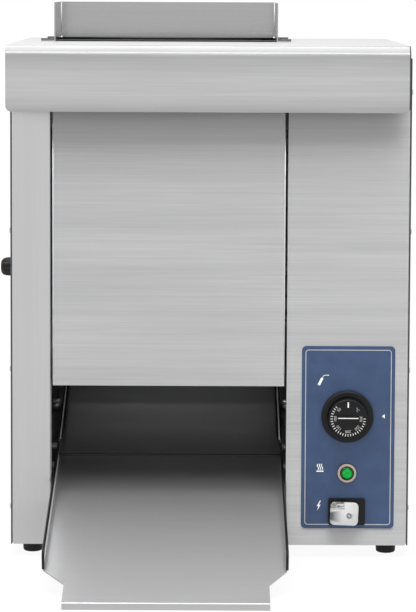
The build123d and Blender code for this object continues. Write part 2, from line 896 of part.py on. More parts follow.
def make_belt(y):
    middle = (drive_height + idler_height) / 2
    run = idler_height - drive_height
    place = Plane.YZ.offset(opening_middle - belt_width / 2) * Pos(y, middle) * Rot(0, 0, 90)
    outer = SlotCenterToCenter(run, 2 * (belt_radius + belt_thickness))
    inner = SlotCenterToCenter(run, 2 * belt_radius)
    return extrude(place * (outer - inner), belt_width)


def make_roller(y, z, right_end):
    """Belt roller with its two journals; the right one runs to right_end."""
    half = belt_width / 2 + roller_overhang
    left_end = left_wall_back - bush_flange - journal_tail
    roller = rod_x((opening_middle - half, opening_middle + half), y, z, roller_radius)
    return roller + rod_x((left_end, right_end), y, z, journal_radius)


def make_shaft_bushes():
    bushes = []
    for face, back in ((left_wall, left_wall_back), (right_wall, right_wall_back)):
        outward = math.copysign(bush_flange, back - face)
        for y, z in journals:
            bush = rod_x(sorted((face, back)), y, z, bush_radius)
            bush += rod_x(sorted((back, back + outward)), y, z, bush_flange_radius)
            through = (min(face, back) - overrun, max(face, back) + overrun)
            bushes.append(bush - rod_x(through, y, z, journal_radius + turning_gap))
    return bushes


def make_shaft_gear(y):
    through = (gear_start - overrun, gear_end + overrun)
    return spur_gear(y) - rod_x(through, y, drive_height, journal_radius)


def make_transfer_gear(y):
    through = (gear_start - overrun, gear_end + overrun)
    return spur_gear(y) - rod_x(through, y, drive_height, gear_pin_radius + turning_gap)


def make_gear_pins():
    pins = []
    for y in transfer_axes:
        head = (gear_end + gear_gap, gear_end + gear_gap + gear_pin_head)
        pin = rod_x((right_wall_back, head[1]), y, drive_height, gear_pin_radius)
        pin += rod_x((right_wall_back, gear_start - gear_gap), y, drive_height, gear_pin_head_radius)
        pins.append(pin + rod_x(head, y, drive_height, gear_pin_head_radius))
    return pins


def make_shaft_coupling():
    coupling_end = coupling_start + coupling_length
    coupling = rod_x((coupling_start, coupling_end), rear_axis, drive_height, coupling_radius)
    coupling -= rod_x((coupling_start - overrun, coupling_middle), rear_axis, drive_height, journal_radius)
    return coupling - rod_x((coupling_middle, coupling_end + overrun), rear_axis, drive_height, output_radius)


def make_output_shaft():
    return rod_x((coupling_middle, gearbox_start + output_depth), rear_axis, drive_height, output_radius)


def make_motor_plate():
    half = motor_plate_size / 2
    plate = block(
        (motor_plate_start, gearbox_start),
        (rear_axis - half, rear_axis + half),
        (drive_height - half, drive_height + half),
    )
    through = (motor_plate_start - overrun, gearbox_start + overrun)
    return plate - rod_x(through, rear_axis, drive_height, output_radius + motor_hole_gap)


def make_motor_posts():
    half = motor_post_spacing / 2
    places = [(rear_axis + a * half, drive_height + b * half) for a in (-1, 1) for b in (-1, 1)]
    return [rod_x((right_wall_back, motor_plate_start), y, z, motor_post_radius) for y, z in places]


def make_gearbox():
    place = Plane.YZ.offset(gearbox_start) * Pos(rear_axis, drive_height)
    gearbox = extrude(place * RectangleRounded(gearbox_size, gearbox_size, gearbox_corner), gearbox_length)
    bore = (gearbox_start - overrun, gearbox_start + output_depth)
    return gearbox - rod_x(bore, rear_axis, drive_height, output_radius + turning_gap)


def make_drive_motor():
    motor = rod_x((motor_start, motor_start + motor_length), rear_axis, drive_height, motor_radius)
    return fillet(motor.edges().group_by(Axis.X)[-1], motor_edge)


# Bun thickness adjuster

def make_adjuster_shaft():
    x = (left_face - knob_gap - knob_skirt, right_wall_back + adjuster_tail)
    return rod_x(x, adjuster_y, adjuster_height, adjuster_radius)


def make_adjuster_knob():
    outer = left_face - knob_gap - knob_length
    inner = left_face - knob_gap
    knob = rod_x((outer, inner - knob_skirt), adjuster_y, adjuster_height, knob_waist_radius)
    knob = fillet(knob.edges().group_by(Axis.X)[0], knob_edge)
    knob += rod_x((inner - knob_skirt, inner), adjuster_y, adjuster_height, knob_radius)
    return knob - rod_x((inner - knob_skirt, inner + overrun), adjuster_y, adjuster_height, adjuster_radius)


def make_adjuster_eccentrics():
    discs = []
    for hand in (-1, 1):
        middle = opening_middle + hand * eccentric_spacing / 2
        x = (middle - eccentric_width / 2, middle + eccentric_width / 2)
        disc = rod_x(x, adjuster_y - eccentric_throw, adjuster_height, eccentric_radius)
        through = (x[0] - overrun, x[1] + overrun)
        discs.append(disc - rod_x(through, adjuster_y, adjuster_height, adjuster_radius))
    return discs


def make_pressure_plate():
    half = belt_width / 2 - plate_inset
    y = (plate_front, plate_front + plate_thickness)
    plate = block((opening_middle - half, opening_middle + half), y, (plate_low, plate_high))
    for level in tab_levels:
        tab_z = (level - tab_height / 2, level + tab_height / 2)
        plate += block((left_wall_back, right_wall_back), y, tab_z)
    return plate


# Control panel

def make_label_plate():
    plate = front_plate(label_x, label_z, label_width, label_height, label_corner, (label_face, 0))
    through = (label_face - overrun, overrun)
    plate -= rod_y(through, control_x, dial_z, spindle_radius + spindle_hole_gap)
    plate -= rod_y(through, control_x, lamp_z, lamp_body_radius + hole_gap)
    return plate - switch_cut(through)


def make_thermostat_bezel():
    ring = rod_y((label_face - bezel_height, label_face), control_x, dial_z, bezel_radius)
    ring = fillet(ring.edges().group_by(Axis.Y)[0], bezel_edge)
    through = (label_face - bezel_height - overrun, label_face + overrun)
    return ring - rod_y(through, control_x, dial_z, bezel_inner_radius)


def make_thermostat_knob():
    back = label_face - dial_gap
    front = back - dial_length
    knob = rod_y((front, back), control_x, dial_z, dial_radius)
    knob = fillet(knob.edges().group_by(Axis.Y)[0], dial_edge)
    knob -= rod_y((front - overrun, front + dial_recess), control_x, dial_z, dial_radius - dial_rim)
    grip_y = (front - grip_height, front + dial_recess)
    knob += front_plate(control_x, dial_z, grip_length, grip_width, grip_corner, grip_y)
    return knob + rod_y((back, back + spindle_length), control_x, dial_z, spindle_radius)


def make_thermostat_body():
    y = (sheet, sheet + thermostat_depth)
    body = front_plate(control_x, dial_z, thermostat_width, thermostat_height, thermostat_corner, y)
    bore = (-overrun, label_face - dial_gap + spindle_length + seat_gap)
    return body - rod_y(bore, control_x, dial_z, spindle_radius + turning_gap)


def make_thermostat_bulb():
    """Bulb in the platen and the thin tube that leads from it to the thermostat."""
    outlet = right_wall_back + heater_tail
    bulb = rod_x((platen_right - bulb_length, outlet), platen_middle, bulb_level, bulb_radius)
    middle_y = sheet + thermostat_depth / 2
    side_x = control_x + capillary_side
    top = dial_z + thermostat_height / 2
    points = [
        (outlet, platen_middle, bulb_level),
        (side_x, platen_middle, bulb_level),
        (side_x, middle_y, bulb_level - capillary_drop),
        (side_x, middle_y, top),
    ]
    path = FilletPolyline(*points, radius=capillary_bend)
    section = Plane(origin=points[0], z_dir=(1, 0, 0)) * Circle(capillary_radius)
    return bulb + sweep(section, path=path)


def make_lamp_bezel():
    ring = rod_y((label_face - lamp_height, label_face), control_x, lamp_z, lamp_radius)
    ring = fillet(ring.edges().group_by(Axis.Y)[0], lamp_edge)
    through = (label_face - lamp_height - overrun, label_face + overrun)
    return ring - rod_y(through, control_x, lamp_z, lamp_lens_radius)


def make_lamp_lens():
    front = label_face - lamp_height
    lens = rod_y((front, label_face), control_x, lamp_z, lamp_lens_radius)
    ball_radius = (lamp_lens_radius ** 2 + lamp_dome ** 2) / (2 * lamp_dome)
    ball = Pos(control_x, front - lamp_dome + ball_radius, lamp_z) * Sphere(ball_radius)
    return lens + (ball & rod_y((front - lamp_dome - overrun, front), control_x, lamp_z, lamp_lens_radius))


def make_lamp_body():
    body = rod_y((label_face, lamp_body_length), control_x, lamp_z, lamp_body_radius)
    place = Plane.XZ.offset(-sheet - lamp_nut_length) * Pos(control_x, lamp_z)
    return body + extrude(place * RegularPolygon(lamp_nut_radius, nut_sides), lamp_nut_length)


def make_switch_frame():
    flange_y = (switch_face, label_face)
    frame = front_plate(control_x, switch_z, switch_width, switch_height, switch_corner, flange_y)
    body_x = (control_x - switch_body_width / 2, control_x + switch_body_width / 2)
    body_z = (switch_z - switch_body_height / 2, switch_z + switch_body_height / 2)
    frame += block(body_x, (label_face, switch_body_depth), body_z)
    well_x = (key_x - key_length / 2 - key_gap, key_x + key_length / 2 + key_gap)
    well_z = (switch_z - key_height / 2 - seat_gap, switch_z + key_height / 2 + seat_gap)
    frame -= block(well_x, (switch_face - overrun, key_well), well_z)
    half = key_height / 2 + key_pivot_length + seat_gap
    pivot_z = (switch_z - half, switch_z + half)
    return frame - rod_z(pivot_z, key_x, -key_pivot_depth, key_pivot_radius + turning_gap)


def make_switch_rocker():
    """Rocker with its two pivots, tilted to the side that is pressed in."""
    half = key_length / 2
    points = [
        (-half, key_depth),
        (-half, -key_end_rise),
        (0, -key_middle_rise),
        (half, -key_end_rise),
        (half, key_depth),
    ]
    rocker = Pos(0, 0, -key_height / 2) * extrude(Polygon(*points, align=None), key_height)
    pivot = key_height / 2 + key_pivot_length
    rocker += rod_z((-pivot, pivot), 0, 0, key_pivot_radius)
    return Pos(key_x, -key_pivot_depth, switch_z) * Rot(0, 0, -key_tilt) * rocker


def make_switch_cap():
    front = switch_face - cap_rise
    cap = front_plate(key_x, switch_z, cap_width, cap_height, cap_corner, (front, switch_face))
    cap = fillet(cap.edges().group_by(Axis.Y)[0], cap_edge)
    inner = front_plate(
        key_x,
        switch_z,
        cap_width - 2 * cap_wall,
        cap_height - 2 * cap_wall,
        cap_corner - cap_wall,
        (front + cap_wall, switch_face),
    )
    inner = fillet(inner.edges().group_by(Axis.Y)[0], cap_edge - cap_wall)
    return cap - inner


# Electrical fittings at the back

def make_terminal_block():
    x = (column_middle - terminal_width / 2, column_middle + terminal_width / 2)
    y = (rear_inside - terminal_setback - terminal_depth, rear_inside - terminal_setback)
    top = pan_top + terminal_height
    terminal = block(x, y, (pan_top, top))
    step = terminal_width / terminal_ways
    for way in range(terminal_ways):
        middle = x[0] + (way + 1 / 2) * step
        well = (top - terminal_well_depth, top + overrun)
        terminal -= rod_z(well, middle, (y[0] + y[1]) / 2, terminal_well_radius)
    return terminal


def make_wiring_loom():
    """One wire each from the thermostat, the lamp and the switch to the terminal block."""
    front = rear_inside - terminal_setback - terminal_depth
    step = terminal_width / terminal_ways
    outlets = [
        (thermostat_depth + sheet, dial_z - wire_exit_drop),
        (lamp_body_length, lamp_z),
        (switch_body_depth, switch_z),
    ]
    wires = []
    for way, (start, height) in enumerate(outlets):
        middle = column_middle + (way - (terminal_ways - 1) / 2) * step
        points = [
            (control_x, start, height),
            (control_x, start + 2 * wire_bend, height),
            (middle, front - 2 * wire_bend, pan_top + terminal_height / 2),
            (middle, front, pan_top + terminal_height / 2),
        ]
        path = FilletPolyline(*points, radius=wire_bend)
        section = Plane(origin=points[0], z_dir=(0, 1, 0)) * Circle(wire_radius)
        wires.append(sweep(section, path=path))
    return wires


def make_cord_gland():
    """Gland through the rear panel and its nut inside the cabinet."""
    collar = (cabinet_depth, cabinet_depth + gland_collar)
    outer = cabinet_depth + gland_reach
    gland = rod_y((collar[1], outer), column_middle, gland_z, gland_radius)
    gland = fillet(gland.edges().group_by(Axis.Y)[-1], gland_edge)
    gland += rod_y(collar, column_middle, gland_z, gland_collar_radius)
    gland += rod_y((rear_inside - gland_thread, cabinet_depth), column_middle, gland_z, gland_thread_radius)
    through = (rear_inside - gland_thread - overrun, outer + overrun)
    gland -= rod_y(through, column_middle, gland_z, gland_bore_radius)
    place = Plane.XZ.offset(-rear_inside) * Pos(column_middle, gland_z)
    nut = extrude(place * RegularPolygon(gland_nut_radius, nut_sides), gland_nut_length)
    return [gland, nut - rod_y(through, column_middle, gland_z, gland_thread_radius)]


# All pieces by node name

pieces = {
    "base_pan": make_base_pan(),
    "feet": make_feet(),
    "foot_screws": make_foot_screws(),
    "left_side_cover": make_left_side_cover(),
    "right_side_cover": make_side_cover(1),
    "side_cover_screws": make_side_cover_screws(),
    "left_pillar": make_left_pillar(),
    "control_column": make_control_column(),
    "top_rail": make_top_rail(),
    "hinge_pins": make_hinge_pins(),
    "rear_panel": make_rear_panel(),
    "rear_panel_screws": make_rear_panel_screws(),
    "top_hood": make_top_hood(),
    "hood_screws": make_hood_screws(),
    "left_inner_wall": make_inner_wall(-1),
    "right_inner_wall": make_inner_wall(1),
    "chute_rods": make_chute_rods(),
    "landing_tray": make_landing_tray(),
    "rear_slide": make_rear_slide(),
    "front_cover": make_front_cover(),
    "bun_feeder": make_bun_feeder(),
    "platen": make_platen(),
    "heater_rods": make_heater_rods(),
    "platen_brackets": make_platen_brackets(),
    "front_belt": make_belt(front_axis),
    "rear_belt": make_belt(rear_axis),
    "front_drive_roller": make_roller(front_axis, drive_height, gear_right_end),
    "rear_drive_roller": make_roller(rear_axis, drive_height, coupling_middle),
    "front_idler_roller": make_roller(front_axis, idler_height, idler_right_end),
    "rear_idler_roller": make_roller(rear_axis, idler_height, idler_right_end),
    "shaft_bushes": make_shaft_bushes(),
    "front_drive_gear": make_shaft_gear(front_axis),
    "rear_drive_gear": make_shaft_gear(rear_axis),
    "front_transfer_gear": make_transfer_gear(transfer_axes[0]),
    "rear_transfer_gear": make_transfer_gear(transfer_axes[1]),
    "gear_pins": make_gear_pins(),
    "shaft_coupling": make_shaft_coupling(),
    "output_shaft": make_output_shaft(),
    "motor_plate": make_motor_plate(),
    "motor_posts": make_motor_posts(),
    "gearbox": make_gearbox(),
    "drive_motor": make_drive_motor(),
    "adjuster_shaft": make_adjuster_shaft(),
    "adjuster_knob": make_adjuster_knob(),
    "adjuster_eccentrics": make_adjuster_eccentrics(),
    "pressure_plate": make_pressure_plate(),
    "label_plate": make_label_plate(),
    "thermostat_bezel": make_thermostat_bezel(),
    "thermostat_knob": make_thermostat_knob(),
    "thermostat_body": make_thermostat_body(),
    "thermostat_bulb": make_thermostat_bulb(),
    "lamp_bezel": make_lamp_bezel(),
    "lamp_lens": make_lamp_lens(),
    "lamp_body": make_lamp_body(),
    "switch_frame": make_switch_frame(),
    "switch_rocker": make_switch_rocker(),
    "switch_cap": make_switch_cap(),
    "terminal_block": make_terminal_block(),
    "wiring_loom": make_wiring_loom(),
    "cord_gland": make_cord_gland(),
}

os.makedirs("parts", exist_ok=True)
to_origin = Pos(-part_middle_x, -part_middle_y, 0)
for node, shape in pieces.items():
    solids = shape if isinstance(shape, list) else [shape]
    placed = Compound([to_origin * solid for one in solids for solid in one.solids()])
    export_step(placed, f"parts/{node}.step")
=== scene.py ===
import json
import math

import bmesh
import bpy
from mathutils import Matrix, Vector


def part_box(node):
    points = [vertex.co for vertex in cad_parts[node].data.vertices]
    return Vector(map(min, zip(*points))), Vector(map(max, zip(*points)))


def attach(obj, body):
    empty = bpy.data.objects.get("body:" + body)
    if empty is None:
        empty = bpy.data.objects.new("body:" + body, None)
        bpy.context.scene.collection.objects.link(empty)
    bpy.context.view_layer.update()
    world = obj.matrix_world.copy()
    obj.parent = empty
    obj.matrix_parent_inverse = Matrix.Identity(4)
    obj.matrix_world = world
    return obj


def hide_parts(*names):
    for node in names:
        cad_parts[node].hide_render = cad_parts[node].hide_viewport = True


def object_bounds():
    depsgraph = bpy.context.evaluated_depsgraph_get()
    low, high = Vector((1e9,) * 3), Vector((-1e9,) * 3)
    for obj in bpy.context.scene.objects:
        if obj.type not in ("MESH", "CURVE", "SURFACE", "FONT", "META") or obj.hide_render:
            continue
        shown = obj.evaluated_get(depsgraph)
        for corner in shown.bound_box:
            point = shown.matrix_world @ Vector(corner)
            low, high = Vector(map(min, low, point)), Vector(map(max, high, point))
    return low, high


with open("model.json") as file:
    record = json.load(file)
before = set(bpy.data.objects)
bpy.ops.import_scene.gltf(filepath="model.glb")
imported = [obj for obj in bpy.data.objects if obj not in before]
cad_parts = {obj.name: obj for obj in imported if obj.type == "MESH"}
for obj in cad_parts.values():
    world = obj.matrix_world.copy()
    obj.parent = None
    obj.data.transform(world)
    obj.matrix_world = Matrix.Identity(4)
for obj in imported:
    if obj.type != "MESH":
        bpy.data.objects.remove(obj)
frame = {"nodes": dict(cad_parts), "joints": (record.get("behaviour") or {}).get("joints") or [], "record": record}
cad_low, cad_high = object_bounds()

# The looks of an upright bun toaster, in metres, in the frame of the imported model.
# X runs to the right seen from the front, Y to the back and Z up from the worktop.

# Camera, for an image of 416 by 612 pixels
image_height = 612
image_width = 416
focal_pixels = 2427.0
centre_pixel = (210.8, 179.0)      # where the camera's axis meets the image
sensor_width = 36.0                # in millimetres
camera_place = (0.00915, -2.3575, 0.5437)
camera_pitch = math.radians(4.5)   # down
camera_roll = math.radians(0.25)

# Studio
floor_reach = 30.0
floor_shade = 0.9
near_glow_share = 0.93             # of the floor's brightness that no shadow dims, close by
near_floor = 0.3
far_floor = 1.3                    # from here on the floor is plain white
sky_level = 0.6                    # for what isn't seen directly or in a reflection
key_place = (-0.1, -0.55, 2.1)
key_size = (2.6, 1.2)
key_power = 62.0
fill_place = (-1.9, -1.9, 1.0)
fill_size = (1.2, 1.6)
fill_power = 6.0

# Brushed steel
steel_colour = (0.5, 0.5, 0.505)
level_spread = (0.0, -0.5, 0.87)   # direction in which reflections are drawn out
upright_spread = (0.8, 0.6, 0.0)
chute_spread = (0.0, 0.995, 0.1)
grain_length = 0.09
grain_width = 0.0011
band_length = 0.3
band_width = 0.012
cloud_size = 0.16
cloud_share = 0.97                 # of the brightness in the darkest clouds
brush_contrast = 0.05              # of the colour, both ways
brush_swing = 0.04                 # of the roughness, both ways
brush_strength = 0.1
smooth_swing = 0.006               # for sheets that are seen at a flat angle
smooth_strength = 0.01
bump_depth = 0.0001
edge_width = 0.0013                # painted shade on the front edges of the covers and on the hood's right end
edge_soft_share = 0.2
edge_shade_share = 0.2
hood_edge_depth = 0.010
hood_hem = 0.016
hood_hem_shade_share = 0.78              # painted shade: share of the brightness at the lower edge of the skirt
hood_bend = 0.0088                 # height of the bend at the top of the skirt
hood_shade_band = 0.018                  # height of the band of painted shade under the bend
hood_band_shade_share = 0.78             # painted shade: share of the brightness at the top of that band
bend_roughness = 0.72
bend_rough_shares = (1.0, 0.65, 0.16, 0.06)  # of its height from the top: begins, is full, still is, ends
tray_wall_face = 0.0013            # thickness of the tray's side walls, seen from the front
tray_wall_soft = 0.0003
tray_wall_painted_light = 1.75              # painted light: times the colour of the tray's floor, on its side walls
tray_wall_metallic = 0.25

# Other materials
metal_grain = 0.002
metal_swing = 0.06
metal_strength = 0.15
plastic_grain = 0.0006
white_grain = 0.0005
print_grain = 0.0004
plastic_swing = 0.05
plastic_depth = 0.00008
clouds_to_grain = 40
cap_streak = (0.006, 0.006, 0.0013)
cap_reflection_streak_dark = 0.02
cap_roughness = (0.05, 0.12)
cap_face = 0.0012                  # depth of the milky face of the cap
cap_face_alpha = 0.6
cap_side_alpha = 0.06
cap_tone = 0.78                    # brightness of the cap outside its painted reflections
cap_clear_alpha = 0.1              # in front of the ring mark
cap_clear_place = (0.0050, -0.0024)  # from the middle of the cap
cap_clear_radius = 0.0028
cap_clear_soft = 0.0008
# painted reflections on the cap: dark streaks on its upper left and a dark patch on its lower left
cap_reflection_streaks_right_share = 0.46     # of the cap's width, from its left
cap_reflection_streaks_low_share = 0.65       # of the cap's height, from below
cap_reflection_right_share = 0.42
cap_reflection_shares = (0.12, 0.3, 0.5, 0.62)  # of its height: where it begins, is full, still is, ends
cap_reflection_dark_share = 0.15
cap_soft_share = 0.07
lamp_cloud = 0.0024
lamp_core = 0.003
# painted shade of the lens, which darkens from its middle towards its rim
lamp_rim_shade_colour = (0.0, 0.07, 0.009)
lamp_core_colour = (0.001, 0.41, 0.05)
lamp_cloud_shades = (0.6, 1.1)
lamp_roughness = (0.08, 0.16)
lamp_specular = 0.2
weave_size = (0.0018, 0.004, 0.004)
weave_strength = 0.6
weave_depth = 0.0006
weave_shades = (0.06, 0.22)
weave_roughness = (0.35, 0.55)

# Noise, and the range of it that a ramp spreads out
soft_detail = 2.0
plastic_detail = 3.0
fine_detail = 4.0
noise_roughness = 0.55
noise_low_share = 0.3
noise_high_share = 0.7

# Prints on the control panel and the dial
print_lift = 0.00004
print_depth = 0.00012
corner_steps = 8
border_inset = 0.0033
border_line = 0.0008
border_corner = 0.0032
dial_face_depth = 0.0022           # dial's face behind the front of its grip
tick_count = 26
tick_outer = 0.0169
tick_inner = 0.0146
tick_width = 0.0006
tick_step = math.radians(9)
numeral_radius = 0.0121
numeral_size = 0.0037
sector = math.radians(45)
off_mark = (0.0108, 0.0160)
off_mark_width = 0.0013
# painted highlight along the top edge of the dial's grip bar
grip_highlight_half = 0.0096
grip_highlight_width = 0.0008
grip_highlight_rise = 0.0009

# Signs beside the controls, from the middle of the plate
pointer_place = (0.0335, 0.0206)
pointer_length = 0.0028
pointer_half = 0.0021
probe_place = (-0.0263, 0.0547)
probe_foot = (-0.0020, -0.0042)
probe_head = (0.0014, 0.0026)
probe_width = 0.0024
probe_wire = [(0.0014, 0.0026), (0.0024, 0.0046), (0.0044, 0.0054), (0.0078, 0.0052)]
probe_wire_width = 0.0006
heat_place = (-0.0265, -0.0296)
heat_wave_step = 0.0019
heat_wave_height = 0.0056
heat_wave_swing = 0.0007
heat_wave_width = 0.0008
heat_wave_lift = 0.0012
heat_wave_points = 13
heat_bar_half = 0.0034
heat_bar_width = 0.0012
heat_bar_drop = 0.0030
bolt_place = (-0.0275, -0.0660)
bolt_outline = [
    (0.0012, 0.0048), (-0.0019, -0.0004), (-0.0004, -0.0004), (-0.0013, -0.0048),
    (0.0019, 0.0009), (0.0003, 0.0009), (0.0021, 0.0048),
]

# Marks on the rocker, on the two faces that meet in its middle
rocker_half = 0.0083
rocker_end_rise = 0.0060
rocker_middle_rise = 0.0040
rocker_tilt = math.radians(-9)
ring_mark_place = (0.0016, -0.0031)  # from the middle of its face
ring_mark_radius = 0.0025
ring_mark_line = 0.0010
ring_mark_points = 32
bar_mark_half = 0.0022
bar_mark_width = 0.0007

# Cap over the rocker
cap_drop = 0.0011                  # from the top of its place
cap_turn = math.radians(2.2)
cap_corner = 0.0044
cap_wall = 0.0008
cap_edge = 0.0010
cap_edge_steps = 4

# Adjuster knob
knob_flutes = 8
knob_flute_depth = 0.0011
knob_turn_steps = 96
knob_profile_shares = [            # of the length from the cover, of the radius
    (0.0, 0.0), (0.0, 0.96), (0.03, 1.0), (0.24, 1.0), (0.28, 0.97), (0.30, 0.88), (0.34, 0.86), (0.38, 0.9),
    (0.72, 0.86), (0.86, 0.79), (0.95, 0.65), (0.99, 0.5), (1.0, 0.42), (0.985, 0.36), (0.985, 0.0),
]
knob_flute_from_share = 0.36
knob_flute_to_share = 0.97

# Screw heads with a cross recess
head_height = 0.0017
head_rings = 14
head_steps = 48
head_dome_power = 2.6
recess_arm_share = 0.56
recess_half_share = 0.13
recess_depth_share = 0.5
recess_slope_share = 0.07

# Rods, beads and seals
rod_sides = 12
rod_pitch = 0.012
rod_radius = 0.0011
rod_inset = 0.0015
belt_thickness = 0.002
sheet = 0.0012
feeder_ear = 0.0132
feeder_rise = 0.039                # feeder's top above the hood
# sizes of the feeder's painted highlights and painted shade
highlight_bead_radius = 0.0005
shade_strip_radius = 0.0012
ear_shade_strip_radius = 0.0014
glint_radius = 0.0010
glint_half = 0.0012
cover_highlight_radius = 0.0005
# painted shade round the lamp's lens and ring
shade_ring_radius = 0.0004
shade_ring_steps = 48
lens_radius = 0.0064
ring_radius = 0.009

# Dark strips along the tray's side walls
strip_radius = 0.0013
strip_bend_steps = 6
tray_slope = math.radians(13.9)
tray_lip_height = 0.0064
tray_wall_height = 0.016
tray_wall_start = 0.062            # behind the front of the tray
tray_wall_end = 0.290
tray_wall_round = 0.006
slide_slope = math.radians(20)
slide_wall_height = 0.014
slide_tail = 0.020
slide_outer_radius = 0.0009
# painted highlight lines on the slide's walls, between its dark strips
slide_highlight_radius = 0.0006
slide_inner_radius = 0.0010
spacer_radius = 0.007
spacer_gap = 0.0003
spacer_length = 0.0122
spacer_place = (0.117, 0.115)      # along Y and Z


# Materials

class Nodes:
    """The nodes of a material or of the world."""

    def __init__(self, owner):
        owner.use_nodes = True
        self.tree = owner.node_tree

    def node(self, kind, **settings):
        made = self.tree.nodes.new(kind)
        for key, value in settings.items():
            setattr(made, key, value)
        return made

    def link(self, source, target):
        self.tree.links.new(source, target)

    def noise(self, size, detail=soft_detail):
        """Noise whose features have the given size in metres along X, Y and Z."""
        where = self.node("ShaderNodeTexCoord")
        scaled = self.node("ShaderNodeMapping")
        scaled.inputs["Scale"].default_value = [1 / length for length in size]
        cloud = self.node("ShaderNodeTexNoise")
        cloud.inputs["Scale"].default_value = 1
        cloud.inputs["Detail"].default_value = detail
        cloud.inputs["Roughness"].default_value = noise_roughness
        self.link(where.outputs["Object"], scaled.inputs["Vector"])
        self.link(scaled.outputs["Vector"], cloud.inputs["Vector"])
        return cloud.outputs["Fac"]

    def range(self, source, low, high):
        """The middle of a noise spread from low to high."""
        return self.step(source, noise_low_share, noise_high_share, low, high)

    def ramp(self, source, dark, light):
        """The middle of a noise spread from a dark to a light colour."""
        ramp = self.node("ShaderNodeValToRGB")
        ramp.color_ramp.elements[0].position = noise_low_share
        ramp.color_ramp.elements[0].color = (*dark, 1)
        ramp.color_ramp.elements[1].position = noise_high_share
        ramp.color_ramp.elements[1].color = (*light, 1)
        self.link(source, ramp.inputs["Fac"])
        return ramp.outputs["Color"]

    def multiply(self, first, second):
        mix = self.node("ShaderNodeMix", data_type="RGBA", blend_type="MULTIPLY")
        mix.inputs["Factor"].default_value = 1
        self.link(first, mix.inputs["A"])
        self.link(second, mix.inputs["B"])
        return mix.outputs["Result"]

    def place(self):
        """Place on the object along X, Y and Z."""
        where = self.node("ShaderNodeTexCoord")
        parts = self.node("ShaderNodeSeparateXYZ")
        self.link(where.outputs["Object"], parts.inputs["Vector"])
        return parts.outputs

    def step(self, source, start, end, low, high, kind="LINEAR"):
        """Runs from low to high while the source runs from start to end, and stays there beyond."""
        run = self.node("ShaderNodeMapRange", interpolation_type=kind)
        run.inputs["From Min"].default_value = start
        run.inputs["From Max"].default_value = end
        run.inputs["To Min"].default_value = low
        run.inputs["To Max"].default_value = high
        self.link(source, run.inputs["Value"])
        return run.outputs["Result"]

    def combine(self, operation, *sources):
        """One value from some, such as their maximum."""
        last = sources[0]
        for source in sources[1:]:
            pick = self.node("ShaderNodeMath", operation=operation)
            self.link(last, pick.inputs[0])
            self.link(source, pick.inputs[1])
            last = pick.outputs["Value"]
        return last

    def distance(self, place):
        """Distance from a place on the object."""
        where = self.node("ShaderNodeTexCoord")
        distance = self.node("ShaderNodeVectorMath", operation="DISTANCE")
        distance.inputs[1].default_value = place
        self.link(where.outputs["Object"], distance.inputs[0])
        return distance.outputs["Value"]


class Shader(Nodes):
    """A procedural material that ends in a Principled shader."""

    def __init__(self, name):
        self.material = bpy.data.materials.new(name)
        super().__init__(self.material)
        self.bsdf = self.tree.nodes["Principled BSDF"]

    def set(self, **values):
        """Constants on the shader's own sockets; an underscore in a name stands for a space."""
        for key, value in values.items():
            self.bsdf.inputs[key.replace("_", " ")].default_value = value
        return self

    def feed(self, **sources):
        """Links to the shader's own sockets, named as above."""
        for key, source in sources.items():
            self.link(source, self.bsdf.inputs[key.replace("_", " ")])

    def bump(self, source, strength, distance):
        bump = self.node("ShaderNodeBump")
        bump.inputs["Strength"].default_value = strength
        bump.inputs["Distance"].default_value = distance
        self.link(source, bump.inputs["Height"])
        self.feed(Normal=bump.outputs["Normal"])


def shade(colour, factor):
    return tuple(min(part * factor, 1) for part in colour)


def grey(level):
    return (level, level, level)


def brushed_steel(name, along, spread, tone, roughness, anisotropy, contrast=brush_contrast,
                  swing=brush_swing, strength=brush_strength, painted_shading=None, matt=None, rough=None):
    """Sheet brushed along one axis; spread is the direction in which its reflections are drawn out.

    Tone is a factor for the steel's colour. Painted shading, if given, makes one more factor for it from the
    shader, which paints light or shade; matt makes the metallic value and rough the least roughness.
    """
    steel = Shader(name)
    colour = shade(steel_colour, tone)
    grain = [grain_width] * 3
    band = [band_width] * 3
    grain["XYZ".index(along)] = grain_length
    band["XYZ".index(along)] = band_length
    streaks = steel.noise(grain, fine_detail)
    bands = steel.noise(band)
    clouds = steel.noise([cloud_size] * 3)
    lines = steel.ramp(streaks, shade(colour, 1 - contrast), shade(colour, 1 + contrast))
    wide = steel.ramp(bands, grey(1 - contrast), grey(1))
    soft = steel.ramp(clouds, grey(cloud_share), grey(1))
    mixed = steel.multiply(steel.multiply(lines, wide), soft)
    # painted light or shade on the colour
    if painted_shading:
        mixed = steel.multiply(mixed, painted_shading(steel))
    across = steel.node("ShaderNodeCombineXYZ")
    for axis, part in zip("XYZ", spread):
        across.inputs[axis].default_value = part
    gloss = steel.range(streaks, roughness - swing, roughness + swing)
    if rough:
        gloss = steel.combine("MAXIMUM", gloss, rough(steel))
    steel.feed(Base_Color=mixed, Roughness=gloss, Tangent=across.outputs["Vector"])
    steel.bump(streaks, strength, bump_depth)
    steel.set(Metallic=1.0, Anisotropic=anisotropy)
    if matt:
        steel.feed(Metallic=matt(steel))
    return steel.material


def corner_of(node, pick):
    """Lowest or highest place of a node's own mesh along X, Y and Z."""
    places = [vert.co for vert in frame["nodes"][node].data.vertices]
    return [pick(place[axis] for place in places) for axis in range(3)]


def painted_edge_shade(node):
    """Makes a factor that paints shade on the front edge of a node."""
    front = corner_of(node, min)[1] + edge_width
    end = front + edge_width * edge_soft_share
    return lambda steel: steel.step(steel.place()["Y"], front, end, edge_shade_share, 1)


